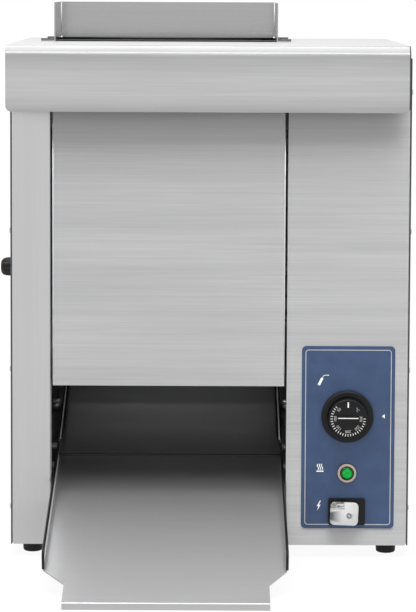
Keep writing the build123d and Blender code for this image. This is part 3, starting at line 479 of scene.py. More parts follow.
def hood_painted_shade(steel):
    """Painted shade on the right end of the hood's skirt, below its bend and at its hem."""
    low, high = corner_of("top_hood", min), corner_of("top_hood", max)
    right = high[0] - edge_width
    back = low[1] + hood_edge_depth
    across = steel.step(steel.place()["X"], right, right + edge_width * edge_soft_share, 1, edge_shade_share)
    behind = steel.step(steel.place()["Y"], back, back + edge_width, 0, 1)
    lower = steel.step(steel.place()["Z"], low[2], low[2] + hood_hem, hood_hem_shade_share, 1)
    bend = high[2] - hood_bend
    above = steel.step(steel.place()["Z"], bend, bend + edge_width, hood_band_shade_share, 1)
    below = steel.step(steel.place()["Z"], bend - hood_shade_band, bend, 1, hood_band_shade_share)
    ends = steel.multiply(steel.combine("MAXIMUM", across, behind), lower)
    return steel.multiply(ends, steel.combine("MAXIMUM", above, below))


def rough_bend(steel):
    """Least roughness on the bend of the hood, whose grain is drawn out there."""
    top = corner_of("top_hood", max)[2]
    level = steel.place()["Z"]
    begin, full, still, end = (top - hood_bend * share for share in bend_rough_shares)
    rise = steel.step(level, begin, full, 0, bend_roughness)
    fall = steel.step(level, still, end, bend_roughness, 0)
    return steel.combine("MINIMUM", rise, fall)


def at_tray_walls(operation, value):
    """Makes a factor that has the given value on the side walls of the tray and is one between them."""
    left = corner_of("landing_tray", min)[0] + tray_wall_face
    right = corner_of("landing_tray", max)[0] - tray_wall_face

    def factor(steel):
        from_left = steel.step(steel.place()["X"], left, left + tray_wall_soft, value, 1)
        to_right = steel.step(steel.place()["X"], right - tray_wall_soft, right, 1, value)
        return steel.combine(operation, from_left, to_right)

    return factor


def plain_metal(name, colour, roughness, contrast=0.1, metallic=1.0):
    metal = Shader(name)
    speckle = metal.noise([metal_grain] * 3, fine_detail)
    metal.feed(Base_Color=metal.ramp(speckle, shade(colour, 1 - contrast), shade(colour, 1 + contrast)),
               Roughness=metal.range(speckle, roughness - metal_swing, roughness + metal_swing))
    metal.bump(speckle, metal_strength, bump_depth)
    return metal.set(Metallic=metallic).material


def moulded(name, colour, roughness, grain=plastic_grain, contrast=0.15, strength=0.2, specular=0.5):
    """Moulded plastic or rubber with a fine texture."""
    plastic = Shader(name)
    speckle = plastic.noise([grain] * 3, plastic_detail)
    clouds = plastic.noise([grain * clouds_to_grain] * 3)
    plastic.feed(Base_Color=plastic.ramp(clouds, shade(colour, 1 - contrast), shade(colour, 1 + contrast)),
                 Roughness=plastic.range(speckle, roughness - plastic_swing, roughness + plastic_swing))
    plastic.bump(speckle, strength, plastic_depth)
    return plastic.set(Specular_IOR_Level=specular).material


def clear_plastic(name):
    """Cap with a milky face, clearer sides and painted reflections, dark on its upper and lower left."""
    clear = Shader(name)
    low, high = corner_of("switch_cap", min), corner_of("switch_cap", max)
    x, y, z = (clear.place()[axis] for axis in "XYZ")

    def across(first_share, second_share, first, second):
        start, width = low[0], high[0] - low[0]
        return clear.step(x, start + first_share * width, start + second_share * width, first, second)

    def upward(first_share, second_share, first, second):
        start, height = low[2], high[2] - low[2]
        return clear.step(z, start + first_share * height, start + second_share * height, first, second)

    streaks = clear.noise(cap_streak)
    right_of_streaks = across(cap_reflection_streaks_right_share, cap_reflection_streaks_right_share + cap_soft_share, 0, 1)
    below_streaks = upward(cap_reflection_streaks_low_share, cap_reflection_streaks_low_share + cap_soft_share, 1, 0)
    begin, full, still, end = cap_reflection_shares
    right_of_reflection = across(cap_soft_share, cap_reflection_right_share, cap_reflection_dark_share, cap_tone)
    # painted reflections: dark streaks on the upper left and a dark patch on the lower left
    lines = clear.range(streaks, cap_reflection_streak_dark, 1)
    reflection_streaks = clear.combine("MAXIMUM", lines, right_of_streaks, below_streaks)
    painted_reflection = clear.combine("MAXIMUM", right_of_reflection, upward(begin, full, cap_tone, 0),
                            upward(still, end, 0, cap_tone))
    face = low[1] + cap_face
    milky = clear.step(y, face, face + cap_face, cap_face_alpha, cap_side_alpha)
    mark = ((low[0] + high[0]) / 2 + cap_clear_place[0], low[1], (low[2] + high[2]) / 2 + cap_clear_place[1])
    far = cap_clear_radius + cap_clear_soft
    around = clear.step(clear.distance(mark), cap_clear_radius, far, cap_clear_alpha, 1)
    clear.feed(Base_Color=clear.multiply(reflection_streaks, painted_reflection), Roughness=clear.range(streaks, *cap_roughness),
               Alpha=clear.combine("MINIMUM", milky, around))
    return clear.material


def lamp_glass(name):
    """Green lens with painted shade, bright in its middle and dark towards its rim."""
    glass = Shader(name)
    low, high = corner_of("lamp_lens", min), corner_of("lamp_lens", max)
    middle = ((low[0] + high[0]) / 2, low[1], (low[2] + high[2]) / 2)
    rim = glass.step(glass.distance(middle), lamp_core, lens_radius, 1, 0)
    clouds = glass.noise([lamp_cloud] * 3)
    tone = glass.ramp(rim, lamp_rim_shade_colour, lamp_core_colour)
    cloudy = glass.ramp(clouds, *(grey(level) for level in lamp_cloud_shades))
    glass.feed(Base_Color=glass.multiply(tone, cloudy), Roughness=glass.range(clouds, *lamp_roughness))
    return glass.set(Specular_IOR_Level=lamp_specular).material


def woven_belt(name):
    belt = Shader(name)
    weave = belt.noise(weave_size)
    tone = belt.ramp(weave, *(grey(level) for level in weave_shades))
    belt.feed(Base_Color=tone, Roughness=belt.range(weave, *weave_roughness))
    belt.bump(weave, weave_strength, weave_depth)
    return belt.set(Metallic=1.0).material


level_finish = {"along": "X", "spread": level_spread}
upright_finish = {"along": "Z", "spread": upright_spread, "tone": 1.22, "roughness": 0.5, "anisotropy": 0.7,
                  "contrast": 0.03}
chute_finish = {"along": "X", "spread": chute_spread, "roughness": 0.34, "swing": smooth_swing,
                "strength": smooth_strength}
chamber_finish = {**chute_finish, "tone": 0.9, "anisotropy": 0.8, "contrast": 0.03}
steel_front = brushed_steel("steel_brushed_level", **level_finish, tone=1.14, roughness=0.64, anisotropy=0.86,
                            contrast=0.09)
# the hood carries painted shade at its right end, under its bend and at its hem
steel_hood = brushed_steel("steel_hood", **level_finish, tone=0.99, roughness=0.36, anisotropy=0.75,
                           painted_shading=hood_painted_shade, rough=rough_bend)
steel_feeder = brushed_steel("steel_feeder", **level_finish, tone=0.82, roughness=0.16, anisotropy=0.5,
                             contrast=0.03)
steel_upright = brushed_steel("steel_upright", **upright_finish)
# painted shade on the front edges of the side covers
steel_side = brushed_steel("steel_side", **upright_finish, painted_shading=painted_edge_shade("left_side_cover"))
steel_tray = brushed_steel("steel_tray", **chute_finish, tone=0.97, anisotropy=0.75, contrast=0.02,
                           # painted light: paler side walls of the tray
                           painted_shading=at_tray_walls("MAXIMUM", tray_wall_painted_light),
                           matt=at_tray_walls("MINIMUM", tray_wall_metallic))
steel_chamber = brushed_steel("steel_chamber", **chamber_finish)
# painted shade on the front edge of the rear slide
steel_slide = brushed_steel("steel_slide", **chamber_finish, painted_shading=painted_edge_shade("rear_slide"))
# painted light: paler, partly matt steel for the inner walls and the feeder's bright beads
steel_painted_light = plain_metal("steel_painted_light", grey(0.7), 0.45, metallic=0.4)
black_plastic = moulded("plastic_black", grey(0.006), 0.4, specular=0.22)
# painted highlights on the edges of the front cover
highlight_steel = plain_metal("steel_highlight", grey(0.82), 0.4, contrast=0.05)

looks = {
    "cabinet_steel": steel_front,
    "chamber_steel": steel_chamber,
    "fastener_steel": plain_metal("steel_plain", grey(0.5), 0.3),
    "foot_rubber": moulded("rubber_black", grey(0.008), 0.6, specular=0.25),
    "platen_aluminium": plain_metal("aluminium_cast", grey(0.4), 0.4),
    "heater_steel": plain_metal("steel_tinted", (0.3, 0.27, 0.24), 0.4),
    "belt_mesh": woven_belt("belt_woven"),
    "roller_steel": plain_metal("steel_turned", (0.4, 0.4, 0.41), 0.25),
    "bush_bronze": plain_metal("bronze", (0.5, 0.33, 0.14), 0.4),
    "gear_iron": plain_metal("iron_hobbed", (0.25, 0.25, 0.26), 0.4),
    "gearbox_aluminium": plain_metal("aluminium_die_cast", (0.42, 0.42, 0.43), 0.5),
    "motor_paint": moulded("enamel_black", (0.02, 0.02, 0.022), 0.35),
    "black_plastic": black_plastic,
    "panel_blue": moulded("panel_blue", (0.039, 0.069, 0.146), 0.4, print_grain, contrast=0.1, strength=0.08,
                          specular=0.3),
    "capillary_copper": plain_metal("copper", (0.6, 0.32, 0.2), 0.3),
    "lamp_ring": moulded("lamp_ring", (0.4, 0.33, 0.27), 0.3, print_grain, contrast=0.1, strength=0.05),
    "lamp_green": lamp_glass("lamp_green"),
    "white_plastic": moulded("plastic_white", (0.74, 0.74, 0.72), 0.35, white_grain, contrast=0.05,
                             strength=0.05),
    "clear_cap": clear_plastic("plastic_clear"),
    "wire_sleeve": moulded("wire_sleeve", grey(0.03), 0.5),
    "gland_nylon": moulded("nylon_black", grey(0.012), 0.45, specular=0.3),
}
# white print, which also paints the highlights on the dial's grip and the rear slide
print_and_highlight_white = moulded("print_and_highlight_white", (0.85, 0.85, 0.83), 0.5, print_grain, contrast=0.04, strength=0.05)
print_grey = moulded("print_grey", (0.42, 0.42, 0.43), 0.5, print_grain, contrast=0.04, strength=0.05)
print_black = moulded("print_black", grey(0.02), 0.5, print_grain, contrast=0.1, strength=0.05)

special = {
    "left_pillar": steel_upright,
    "left_inner_wall": steel_painted_light,
    "right_inner_wall": steel_painted_light,
    "left_side_cover": steel_side,
    "right_side_cover": steel_side,
    "bun_feeder": steel_feeder,
    "landing_tray": steel_tray,
    "rear_slide": steel_slide,
    "top_hood": steel_hood,
}
for subpart in frame["record"]["subparts"]:
    mesh = frame["nodes"][subpart["node"]].data
    mesh.materials.clear()
    mesh.materials.append(special.get(subpart["node"], looks[subpart["material_slot"]]))


# Pieces

def add_piece(name, geometry, material, body, smooth=False):
    """Makes a piece from a bmesh, which is freed, and lets it ride on a body."""
    bmesh.ops.recalc_face_normals(geometry, faces=geometry.faces)
    for face in geometry.faces:
        face.smooth = smooth
    mesh = bpy.data.meshes.new(name)
    geometry.to_mesh(mesh)
    geometry.free()
    mesh.materials.append(material)
    piece = bpy.data.objects.new(name, mesh)
    bpy.context.scene.collection.objects.link(piece)
    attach(piece, body)
    return piece


def to_front(x, y, z):
    """Places a drawing with X right and Y up on a face that looks to the front."""
    return Matrix.Translation((x, y, z)) @ Matrix.Rotation(math.pi / 2, 4, "X")


def add_outline(geometry, points, place):
    """Adds a closed outline as a thin raised print; place brings it from its plane to the part."""
    corners = [geometry.verts.new(place @ Vector((x, y, print_lift))) for x, y in points]
    face = geometry.faces.new(corners)
    made = bmesh.ops.extrude_face_region(geometry, geom=[face])
    raised = [v for v in made["geom"] if isinstance(v, bmesh.types.BMVert)]
    bmesh.ops.translate(geometry, verts=raised, vec=place.to_3x3() @ Vector((0, 0, print_depth)))


def add_stroke(geometry, points, width, place):
    """Adds a printed line of even width through points, with square ends."""
    path = [Vector(point) for point in points]
    left, right = [], []
    for n, point in enumerate(path):
        ahead = path[min(n + 1, len(path) - 1)] - path[max(n - 1, 0)]
        side = Vector((-ahead.y, ahead.x)).normalized() * width / 2
        left.append(point + side)
        right.append(point - side)
    for n in range(len(path) - 1):
        add_outline(geometry, [left[n], left[n + 1], right[n + 1], right[n]], place)


def add_text(geometry, words, place):
    """Adds printed characters, centred on the origin of their plane."""
    curve = bpy.data.curves.new("characters", "FONT")
    curve.body = words
    curve.size = numeral_size
    curve.align_x = "CENTER"
    curve.align_y = "CENTER"
    curve.extrude = print_depth / 2
    writer = bpy.data.objects.new("characters", curve)
    bpy.context.scene.collection.objects.link(writer)
    graph = bpy.context.evaluated_depsgraph_get()
    mesh = bpy.data.meshes.new_from_object(writer.evaluated_get(graph))
    mesh.transform(place @ Matrix.Translation((0, 0, print_lift + print_depth / 2)))
    geometry.from_mesh(mesh)
    bpy.data.meshes.remove(mesh)
    bpy.data.objects.remove(writer)
    bpy.data.curves.remove(curve)


def rounded_rectangle(width, height, corner):
    points = []
    for quarter, (sx, sy) in enumerate(((1, 1), (-1, 1), (-1, -1), (1, -1))):
        for step in range(corner_steps + 1):
            angle = (quarter + step / corner_steps) * math.pi / 2
            x = sx * (width / 2 - corner) + corner * math.cos(angle)
            y = sy * (height / 2 - corner) + corner * math.sin(angle)
            points.append((x, y))
    return points


def circle(radius, count):
    turns = [2 * math.pi * n / count for n in range(count)]
    return [(radius * math.cos(turn), radius * math.sin(turn)) for turn in turns]


def add_ring(geometry, outer, inner, place):
    """Adds a closed printed band between two outlines with the same number of points."""
    rows = []
    for points, lift in ((outer, 0), (outer, print_depth), (inner, print_depth), (inner, 0)):
        rows.append([geometry.verts.new(place @ Vector((x, y, print_lift + lift))) for x, y in points])
    add_bands(geometry, rows + rows[:1])


def add_bands(geometry, rows):
    """Joins each closed row of corners to the one after it."""
    for row, following in zip(rows, rows[1:]):
        count = len(row)
        for n in range(count):
            m = (n + 1) % count
            geometry.faces.new((row[n], row[m], following[m], following[n]))


def shifted(place, offset):
    return place @ Matrix.Translation((offset[0], offset[1], 0))


# Border and signs of the control panel
plate_low, plate_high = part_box("label_plate")
plate_width = plate_high.x - plate_low.x
plate_height = plate_high.z - plate_low.z
plate_place = to_front((plate_low.x + plate_high.x) / 2, plate_low.y, (plate_low.z + plate_high.z) / 2)

border = bmesh.new()
outer_inset = border_inset
inner_inset = border_inset + border_line
line_out = rounded_rectangle(plate_width - 2 * outer_inset, plate_height - 2 * outer_inset, border_corner)
line_in = rounded_rectangle(plate_width - 2 * inner_inset, plate_height - 2 * inner_inset,
                            border_corner - border_line)
add_ring(border, line_out, line_in, plate_place)
add_piece("panel_border", border, print_grey, "cabinet")

signs = bmesh.new()
pointer = [(-pointer_length / 2, 0), (pointer_length / 2, -pointer_half), (pointer_length / 2, pointer_half)]
add_outline(signs, pointer, shifted(plate_place, pointer_place))
add_stroke(signs, [probe_foot, probe_head], probe_width, shifted(plate_place, probe_place))
add_stroke(signs, probe_wire, probe_wire_width, shifted(plate_place, probe_place))
for wave in (-1, 0, 1):
    line = []
    for n in range(heat_wave_points):
        rise = n / (heat_wave_points - 1)
        swing = heat_wave_swing * math.sin(2 * math.pi * rise)
        line.append((wave * heat_wave_step + swing, heat_wave_lift + heat_wave_height * (rise - 1 / 2)))
    add_stroke(signs, line, heat_wave_width, shifted(plate_place, heat_place))
heat_bar = [(-heat_bar_half, -heat_bar_drop), (heat_bar_half, -heat_bar_drop)]
add_stroke(signs, heat_bar, heat_bar_width, shifted(plate_place, heat_place))
add_outline(signs, bolt_outline, shifted(plate_place, bolt_place))
add_piece("panel_signs", signs, print_and_highlight_white, "cabinet")

# Marks of the dial
knob_low, knob_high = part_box("thermostat_knob")
dial_middle = ((knob_low.x + knob_high.x) / 2, (knob_low.z + knob_high.z) / 2)
dial_place = to_front(dial_middle[0], knob_low.y + dial_face_depth, dial_middle[1])
marks = bmesh.new()
for n in range(tick_count):
    turn = Matrix.Rotation(-(2 * sector + n * tick_step), 4, "Z")
    add_stroke(marks, [(0, tick_inner), (0, tick_outer)], tick_width, dial_place @ turn)
numerals = bmesh.new()
for n, label in enumerate(("300", "250", "200", "150", "100", "50")):
    turn = Matrix.Rotation(-(n + 2) * sector, 4, "Z")
    add_text(numerals, label, dial_place @ turn @ Matrix.Translation((0, numeral_radius, 0)))
celsius = Matrix.Rotation(-sector, 4, "Z") @ Matrix.Translation((0, numeral_radius, 0))
add_text(numerals, "°C", dial_place @ celsius)
add_piece("dial_numerals", numerals, print_grey, "thermostat_knob")
add_stroke(marks, [(0, off_mark[0]), (0, off_mark[1])], off_mark_width, dial_place)
# painted highlight along the top edge of the grip bar
grip_highlight_place = shifted(to_front(dial_middle[0], knob_low.y, dial_middle[1]), (0, grip_highlight_rise))
add_stroke(marks, [(-grip_highlight_half, 0), (grip_highlight_half, 0)], grip_highlight_width, grip_highlight_place)
add_piece("dial_marks", marks, print_and_highlight_white, "thermostat_knob")

# Marks of the rocker
rocker_joint = [joint for joint in frame["joints"] if joint["name"] == "power_rock"][0]
rocker_place = Matrix.Translation(rocker_joint["pos_m"]) @ Matrix.Rotation(rocker_tilt, 4, "Z")
rocker_marks = bmesh.new()
for hand in (-1, 1):
    along = Vector((rocker_half, -hand * (rocker_end_rise - rocker_middle_rise), 0)).normalized()
    up = Vector((0, 0, 1))
    basis = Matrix((along, up, along.cross(up))).transposed().to_4x4()
    middle = (hand * rocker_half / 2, -(rocker_end_rise + rocker_middle_rise) / 2, 0)
    face_place = rocker_place @ Matrix.Translation(middle) @ basis
    if hand > 0:
        outer = circle(ring_mark_radius, ring_mark_points)
        inner = circle(ring_mark_radius - ring_mark_line, ring_mark_points)
        add_ring(rocker_marks, outer, inner, shifted(face_place, ring_mark_place))
    else:
        add_stroke(rocker_marks, [(0, -bar_mark_half), (0, bar_mark_half)], bar_mark_width, face_place)
add_piece("rocker_marks", rocker_marks, print_black, "switch_rocker")


# Cap over the rocker, with round corners and a slight turn
low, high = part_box("switch_cap")
cap_width = high.x - low.x
cap_height = high.z - low.z - cap_drop
cap_place = (Matrix.Translation(((low.x + high.x) / 2, 0, low.z + cap_height / 2))
             @ Matrix.Rotation(cap_turn, 4, "Y"))


def add_cap_row(geometry, inset, y):
    """Adds the corners of the cap's outline at a depth, closer to its middle by an inset."""
    points = rounded_rectangle(cap_width - 2 * inset, cap_height - 2 * inset, cap_corner - inset)
    return [geometry.verts.new(cap_place @ Vector((x, y, z))) for x, z in points]


cap = bmesh.new()
outside = [add_cap_row(cap, 0, high.y)]
for step in range(cap_edge_steps + 1):
    turn = math.pi / 2 * step / cap_edge_steps
    outside.append(add_cap_row(cap, cap_edge * (1 - math.cos(turn)), low.y + cap_edge * (1 - math.sin(turn))))
inside = [add_cap_row(cap, cap_wall, high.y), add_cap_row(cap, cap_wall, low.y + cap_wall)]
add_bands(cap, outside[::-1] + inside)
cap.faces.new(outside[-1])
cap.faces.new(inside[-1])
cap_piece = add_piece("switch_cap_shell", cap, looks["clear_cap"], "cabinet", smooth=True)
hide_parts("switch_cap")

# Adjuster knob with flutes
low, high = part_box("adjuster_knob")
knob_length = high.x - low.x
knob_radius = (high.z - low.z) / 2
knob_axis = ((low.y + high.y) / 2, (low.z + high.z) / 2)
knob = bmesh.new()
rows = []
for along_share, radius_share in knob_profile_shares:
    fluted = knob_flute_from_share < along_share < knob_flute_to_share
    row = []
    for step in range(knob_turn_steps):
        turn = 2 * math.pi * step / knob_turn_steps
        wave = (1 - math.cos(knob_flutes * turn)) / 2
        radius = radius_share * knob_radius - (knob_flute_depth * (1 - wave) ** 2 if fluted else 0)
        place = (high.x - along_share * knob_length,
                 knob_axis[0] + radius * math.cos(turn), knob_axis[1] + radius * math.sin(turn))
        row.append(knob.verts.new(place))
    rows.append(row)
add_bands(knob, rows)
bmesh.ops.remove_doubles(knob, verts=knob.verts, dist=print_lift)
knob_piece = add_piece("adjuster_knob_fluted", knob, black_plastic, "adjuster", smooth=True)
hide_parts("adjuster_knob")


# Screws with a cross recess
def islands(node):
    """Lowest and highest corner of each separate solid of a node."""
    source = bmesh.new()
    source.from_mesh(frame["nodes"][node].data)
    bmesh.ops.remove_doubles(source, verts=source.verts, dist=print_lift)
    left = set(source.verts)
    boxes = []
    while left:
        group = [left.pop()]
        for vert in group:
            for edge in vert.link_edges:
                other = edge.other_vert(vert)
                if other in left:
                    left.remove(other)
                    group.append(other)
        places = [vert.co for vert in group]
        corners = [[pick(place[axis] for place in places) for axis in range(3)] for pick in (min, max)]
        boxes.append((Vector(corners[0]), Vector(corners[1])))
    source.free()
    return sorted(boxes, key=lambda box: tuple(box[0]))


def add_screw_head(geometry, radius, height, place):
    """Adds a domed head with a cross recess, which stands up along Z from the origin of its place."""
    rows = []
    for ring in range(head_rings + 1):
        reach = 1 - ring / head_rings
        row = []
        for x, y in circle(reach, head_steps):
            across, along = sorted((abs(x), abs(y)))
            inside = min(recess_half_share - across, recess_arm_share - along) / recess_slope_share
            sink = recess_depth_share * max(0, min(1, inside + 1 / 2))
            level = height * ((1 - reach ** head_dome_power) * (1 - sink))
            row.append(geometry.verts.new(place @ Vector((radius * x, radius * y, level))))
        rows.append(row)
    add_bands(geometry, rows)


def add_screws(name, node, axis):
    """Replaces the plain screws of a node; axis is the outward direction, or None for both sides."""
    geometry = bmesh.new()
    for low, high in islands(node):
        middle = (low + high) / 2
        outward = axis or Vector((math.copysign(1, middle.x), 0, 0))
        along = [abs(part) for part in outward].index(1)
        radius = max((high - low)[other] for other in range(3) if other != along) / 2
        tip = high[along] if outward[along] > 0 else low[along]
        base = middle.copy()
        base[along] = tip - outward[along] * head_height
        turn = outward.to_track_quat("Z", "Y").to_matrix().to_4x4()
        add_screw_head(geometry, radius, head_height, Matrix.Translation(base) @ turn)
    bmesh.ops.remove_doubles(geometry, verts=geometry.verts, dist=print_lift)
    piece = add_piece(name, geometry, looks["fastener_steel"], "cabinet", smooth=True)
    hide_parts(node)


add_screws("side_cover_screw_heads", "side_cover_screws", None)
add_screws("rear_panel_screw_heads", "rear_panel_screws", Vector((0, 1, 0)))
add_screws("hood_screw_heads", "hood_screws", Vector((0, 1, 0)))


# Rods
def close_tube(geometry, rows):
    """Joins the rows of corners along a tube and closes its two ends."""
    add_bands(geometry, rows)
    for row in (rows[0], rows[-1]):
        geometry.faces.new(row)


def add_rod(geometry, start, end, radius):
    """Adds a straight round rod between two places."""
    start, end = Vector(start), Vector(end)
    turn = (end - start).to_track_quat("Z", "Y").to_matrix()
    around = [turn @ Vector((a, b, 0)) for a, b in circle(radius, rod_sides)]
    close_tube(geometry, [[geometry.verts.new(place + side) for side in around] for place in (start, end)])


# Cross rods of the belts
def add_belt_rods(node):
    low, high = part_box(node)
    radius = (high.y - low.y) / 2 - belt_thickness / 2
    middle_y = (low.y + high.y) / 2
    bottom = low.z + (high.y - low.y) / 2
    top = high.z - (high.y - low.y) / 2
    run = top - bottom
    bend = math.pi * radius
    count = round(2 * (run + bend) / rod_pitch)
    rods = bmesh.new()
    for n in range(count):
        far = n * 2 * (run + bend) / count
        side = -1
        if far >= run + bend:
            far -= run + bend
            side = 1
        if far < run:
            y, z = middle_y + side * radius, (bottom + far if side < 0 else top - far)
        else:
            turn = (far - run) / radius
            y = middle_y + side * radius * math.cos(turn)
            z = (top if side < 0 else bottom) - side * radius * math.sin(turn)
        add_rod(rods, (low.x + rod_inset, y, z), (high.x - rod_inset, y, z), rod_radius)
    add_piece(node + "_rods", rods, looks["fastener_steel"], "cabinet")


add_belt_rods("front_belt")
add_belt_rods("rear_belt")

# Painted highlights and shade of the feeder: bright corner beads, glints, dark strips at its foot and ears
low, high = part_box("bun_feeder")
feeder_left = low.x + feeder_ear
feeder_right = high.x - feeder_ear
hood_top = high.z - feeder_rise
wall_y = high.y - sheet
# painted highlights: bright beads in the feeder's corners, with glints at their feet
highlight_beads = bmesh.new()
for x in (feeder_left + sheet, feeder_right - sheet):
    add_rod(highlight_beads, (x, wall_y, hood_top + sheet), (x, wall_y, high.z - highlight_bead_radius), highlight_bead_radius)
    glint_y = wall_y - sheet - 2 * shade_strip_radius
    glint_z = hood_top + 2 * shade_strip_radius
    add_rod(highlight_beads, (x - glint_half, glint_y, glint_z), (x + glint_half, glint_y, glint_z), glint_radius)
add_piece("feeder_highlight_beads", highlight_beads, steel_painted_light, "bun_feeder", smooth=True)
# painted shade: dark strips along the feeder's foot and ears
shade_strips = bmesh.new()
foot_y = wall_y - sheet - shade_strip_radius
foot_z = hood_top + shade_strip_radius
add_rod(shade_strips, (feeder_left + sheet, foot_y, foot_z), (feeder_right - sheet, foot_y, foot_z), shade_strip_radius)
ear_z = hood_top + ear_shade_strip_radius
for y in (low.y + ear_shade_strip_radius, wall_y - ear_shade_strip_radius):
    for x in ((low.x, feeder_left), (feeder_right, high.x)):
        add_rod(shade_strips, (x[0], y, ear_z), (x[1], y, ear_z), ear_shade_strip_radius)
add_piece("feeder_shade_strips", shade_strips, black_plastic, "bun_feeder", smooth=True)

# Painted highlights: bright beads along both edges of the front cover
low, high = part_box("front_cover")
cover_highlights = bmesh.new()
for x in (low.x + cover_highlight_radius, high.x - cover_highlight_radius):
    y = low.y + cover_highlight_radius / 2
    add_rod(cover_highlights, (x, y, low.z + cover_highlight_radius), (x, y, high.z - cover_highlight_radius), cover_highlight_radius)
add_piece("front_cover_highlights", cover_highlights, highlight_steel, "front_cover", smooth=True)


# Painted shade: dark rings round the lamp's lens and ring
def add_shade_ring(geometry, middle, radius):
    rows = []
    for right, up in circle(1, shade_ring_steps):
        row = []
        for a, b in circle(shade_ring_radius, rod_sides):
            place = (middle.x + (radius + a) * right, middle.y + b, middle.z + (radius + a) * up)
            row.append(geometry.verts.new(place))
        rows.append(row)
    add_bands(geometry, rows + rows[:1])


low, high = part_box("lamp_bezel")
ring_middle = (low + high) / 2
shade_rings = bmesh.new()
ring_middle.y = high.y - shade_ring_radius
add_shade_ring(shade_rings, ring_middle, ring_radius)
ring_middle.y = low.y
add_shade_ring(shade_rings, ring_middle, lens_radius)
add_piece("lamp_shade_rings", shade_rings, black_plastic, "cabinet", smooth=True)


# Dark strips along the side walls of the tray and of the rear slide, and painted highlights on the slide
def add_tube(geometry, path, x, radius):
    """Adds a round tube through places in Y and Z, level across the tray."""
    rows = []
    for n, point in enumerate(path):
        ahead = (path[min(n + 1, len(path) - 1)] - path[max(n - 1, 0)]).normalized()
        side = Vector((-ahead.y, ahead.x))
        row = []
        for a, b in circle(radius, rod_sides):
            y, z = point + b * side
            row.append(geometry.verts.new((x + a, y, z)))
        rows.append(row)
    close_tube(geometry, rows)


low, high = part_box("landing_tray")
along_floor = Vector((math.cos(tray_slope), math.sin(tray_slope)))
off_floor = Vector((-math.sin(tray_slope), math.cos(tray_slope)))
wall_scale = 1 / math.cos(tray_slope)
foot = Vector((low.y, tray_lip_height)) + along_floor * tray_wall_start * wall_scale
crest = foot + off_floor * tray_wall_height * wall_scale
bend_middle = crest + (along_floor - off_floor) * tray_wall_round
path = [foot]
for step in range(strip_bend_steps + 1):
    turn = math.pi / 2 * step / strip_bend_steps
    path.append(bend_middle + tray_wall_round * (off_floor * math.sin(turn) - along_floor * math.cos(turn)))
path.append(crest + along_floor * (tray_wall_end - tray_wall_start) * wall_scale)
tray_strips = bmesh.new()
for x in (low.x + strip_radius, high.x - strip_radius):
    add_tube(tray_strips, path, x, strip_radius)
add_piece("tray_dark_strips", tray_strips, black_plastic, "landing_tray", smooth=True)

low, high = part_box("rear_slide")
floor_front = low.z + sheet / math.cos(slide_slope)
floor_back = high.z - slide_tail
lean = slide_wall_height * math.tan(slide_slope)
crest = Vector((low.y - lean, floor_front + slide_wall_height))
tail = Vector((high.y - 2 * sheet, floor_back + slide_wall_height))
path = [crest + (tail - crest) * lean / (tail.x - crest.x), tail]
slide_dark_strips = bmesh.new()
slide_highlights = bmesh.new()
wall_lines = [
    (slide_dark_strips, slide_outer_radius),
    (slide_highlights, slide_highlight_radius),
    (slide_dark_strips, slide_inner_radius),
]
for x, inward in ((low.x, 1), (high.x, -1)):
    for geometry, radius in wall_lines:
        add_tube(geometry, path, x + inward * radius, radius)
        x += inward * 2 * radius
add_piece("slide_dark_strips", slide_dark_strips, black_plastic, "cabinet", smooth=True)
add_piece("slide_highlights", slide_highlights, print_and_highlight_white, "cabinet", smooth=True)

# Spacers between the slide and the inner walls
spacers = bmesh.new()
for x, outward in ((low.x, -1), (high.x, 1)):
    near = x + outward * spacer_gap
    add_rod(spacers, (near, *spacer_place), (near + outward * spacer_length, *spacer_place), spacer_radius)
add_piece("slide_spacers", spacers, looks["fastener_steel"], "cabinet", smooth=True)


# Studio

def seen_ray(nodes):
    """One for what the camera sees directly, in a reflection or through glass, else zero."""
    path = nodes.node("ShaderNodeLightPath")
    kinds = ("Is Camera Ray", "Is Glossy Ray", "Is Transmission Ray")
    return nodes.combine("MAXIMUM", *(path.outputs[kind] for kind in kinds))


def mix_shaders(nodes, share, first, second, output):
    """Ends in a mix of two shaders; the share is that of the second."""
    mix = nodes.node("ShaderNodeMixShader")
    nodes.link(share, mix.inputs["Fac"])
    nodes.link(first.outputs[0], mix.inputs[1])
    nodes.link(second.outputs[0], mix.inputs[2])
    nodes.link(mix.outputs["Shader"], nodes.node(output).inputs["Surface"])


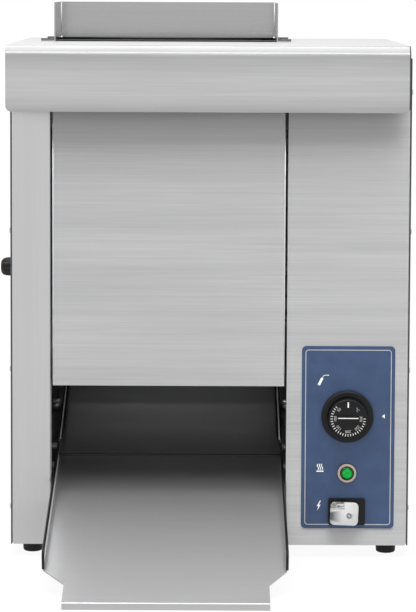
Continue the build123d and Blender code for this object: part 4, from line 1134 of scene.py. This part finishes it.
def add_floor():
    geometry = bmesh.new()
    bmesh.ops.create_grid(geometry, x_segments=1, y_segments=1, size=floor_reach)
    mesh = bpy.data.meshes.new("floor")
    geometry.to_mesh(mesh)
    geometry.free()
    floor = bpy.data.objects.new("floor", mesh)
    bpy.context.scene.collection.objects.link(floor)
    material = bpy.data.materials.new("floor_white")
    mesh.materials.append(material)
    nodes = Nodes(material)
    nodes.tree.nodes.clear()
    matt = nodes.node("ShaderNodeBsdfDiffuse")
    matt.inputs["Color"].default_value = (*grey(floor_shade), 1)
    glow = nodes.node("ShaderNodeEmission")
    from_middle = nodes.distance((0, 0, 0))
    glow_share = nodes.step(from_middle, near_floor, far_floor, near_glow_share, 1, "SMOOTHSTEP")
    seen_share = nodes.combine("MULTIPLY", seen_ray(nodes), glow_share)
    mix_shaders(nodes, seen_share, matt, glow, "ShaderNodeOutputMaterial")


def add_sky():
    world = bpy.data.worlds.new("studio")
    nodes = Nodes(world)
    nodes.tree.nodes.clear()
    dim = nodes.node("ShaderNodeBackground")
    dim.inputs["Strength"].default_value = sky_level
    white = nodes.node("ShaderNodeBackground")
    for background in (dim, white):
        background.inputs["Color"].default_value = (1, 1, 1, 1)
    mix_shaders(nodes, seen_ray(nodes), dim, white, "ShaderNodeOutputWorld")
    bpy.context.scene.world = world


def add_lamp(name, place, size, power):
    lamp = bpy.data.lights.new(name, "AREA")
    lamp.shape = "RECTANGLE"
    lamp.size, lamp.size_y = size
    lamp.energy = power
    holder = bpy.data.objects.new(name, lamp)
    aim = Vector((0, 0, (cad_low.z + cad_high.z) / 2)) - Vector(place)
    holder.location = place
    holder.rotation_euler = aim.to_track_quat("-Z", "Y").to_euler()
    bpy.context.scene.collection.objects.link(holder)


def add_camera():
    lens = bpy.data.cameras.new("camera")
    lens.sensor_width = sensor_width
    lens.lens = sensor_width * focal_pixels / image_height
    lens.shift_x = (image_width / 2 - centre_pixel[0]) / image_height
    lens.shift_y = (centre_pixel[1] - image_height / 2) / image_height
    camera = bpy.data.objects.new("camera", lens)
    level = Matrix.Rotation(math.pi / 2 - camera_pitch, 4, "X")
    roll = Matrix.Rotation(camera_roll, 4, "Z")
    camera.matrix_world = Matrix.Translation(camera_place) @ level @ roll
    bpy.context.scene.collection.objects.link(camera)
    bpy.context.scene.camera = camera


add_floor()
add_sky()
add_lamp("key", key_place, key_size, key_power)
add_lamp("fill", fill_place, fill_size, fill_power)
add_camera()
bpy.context.scene.view_settings.view_transform = "Standard"
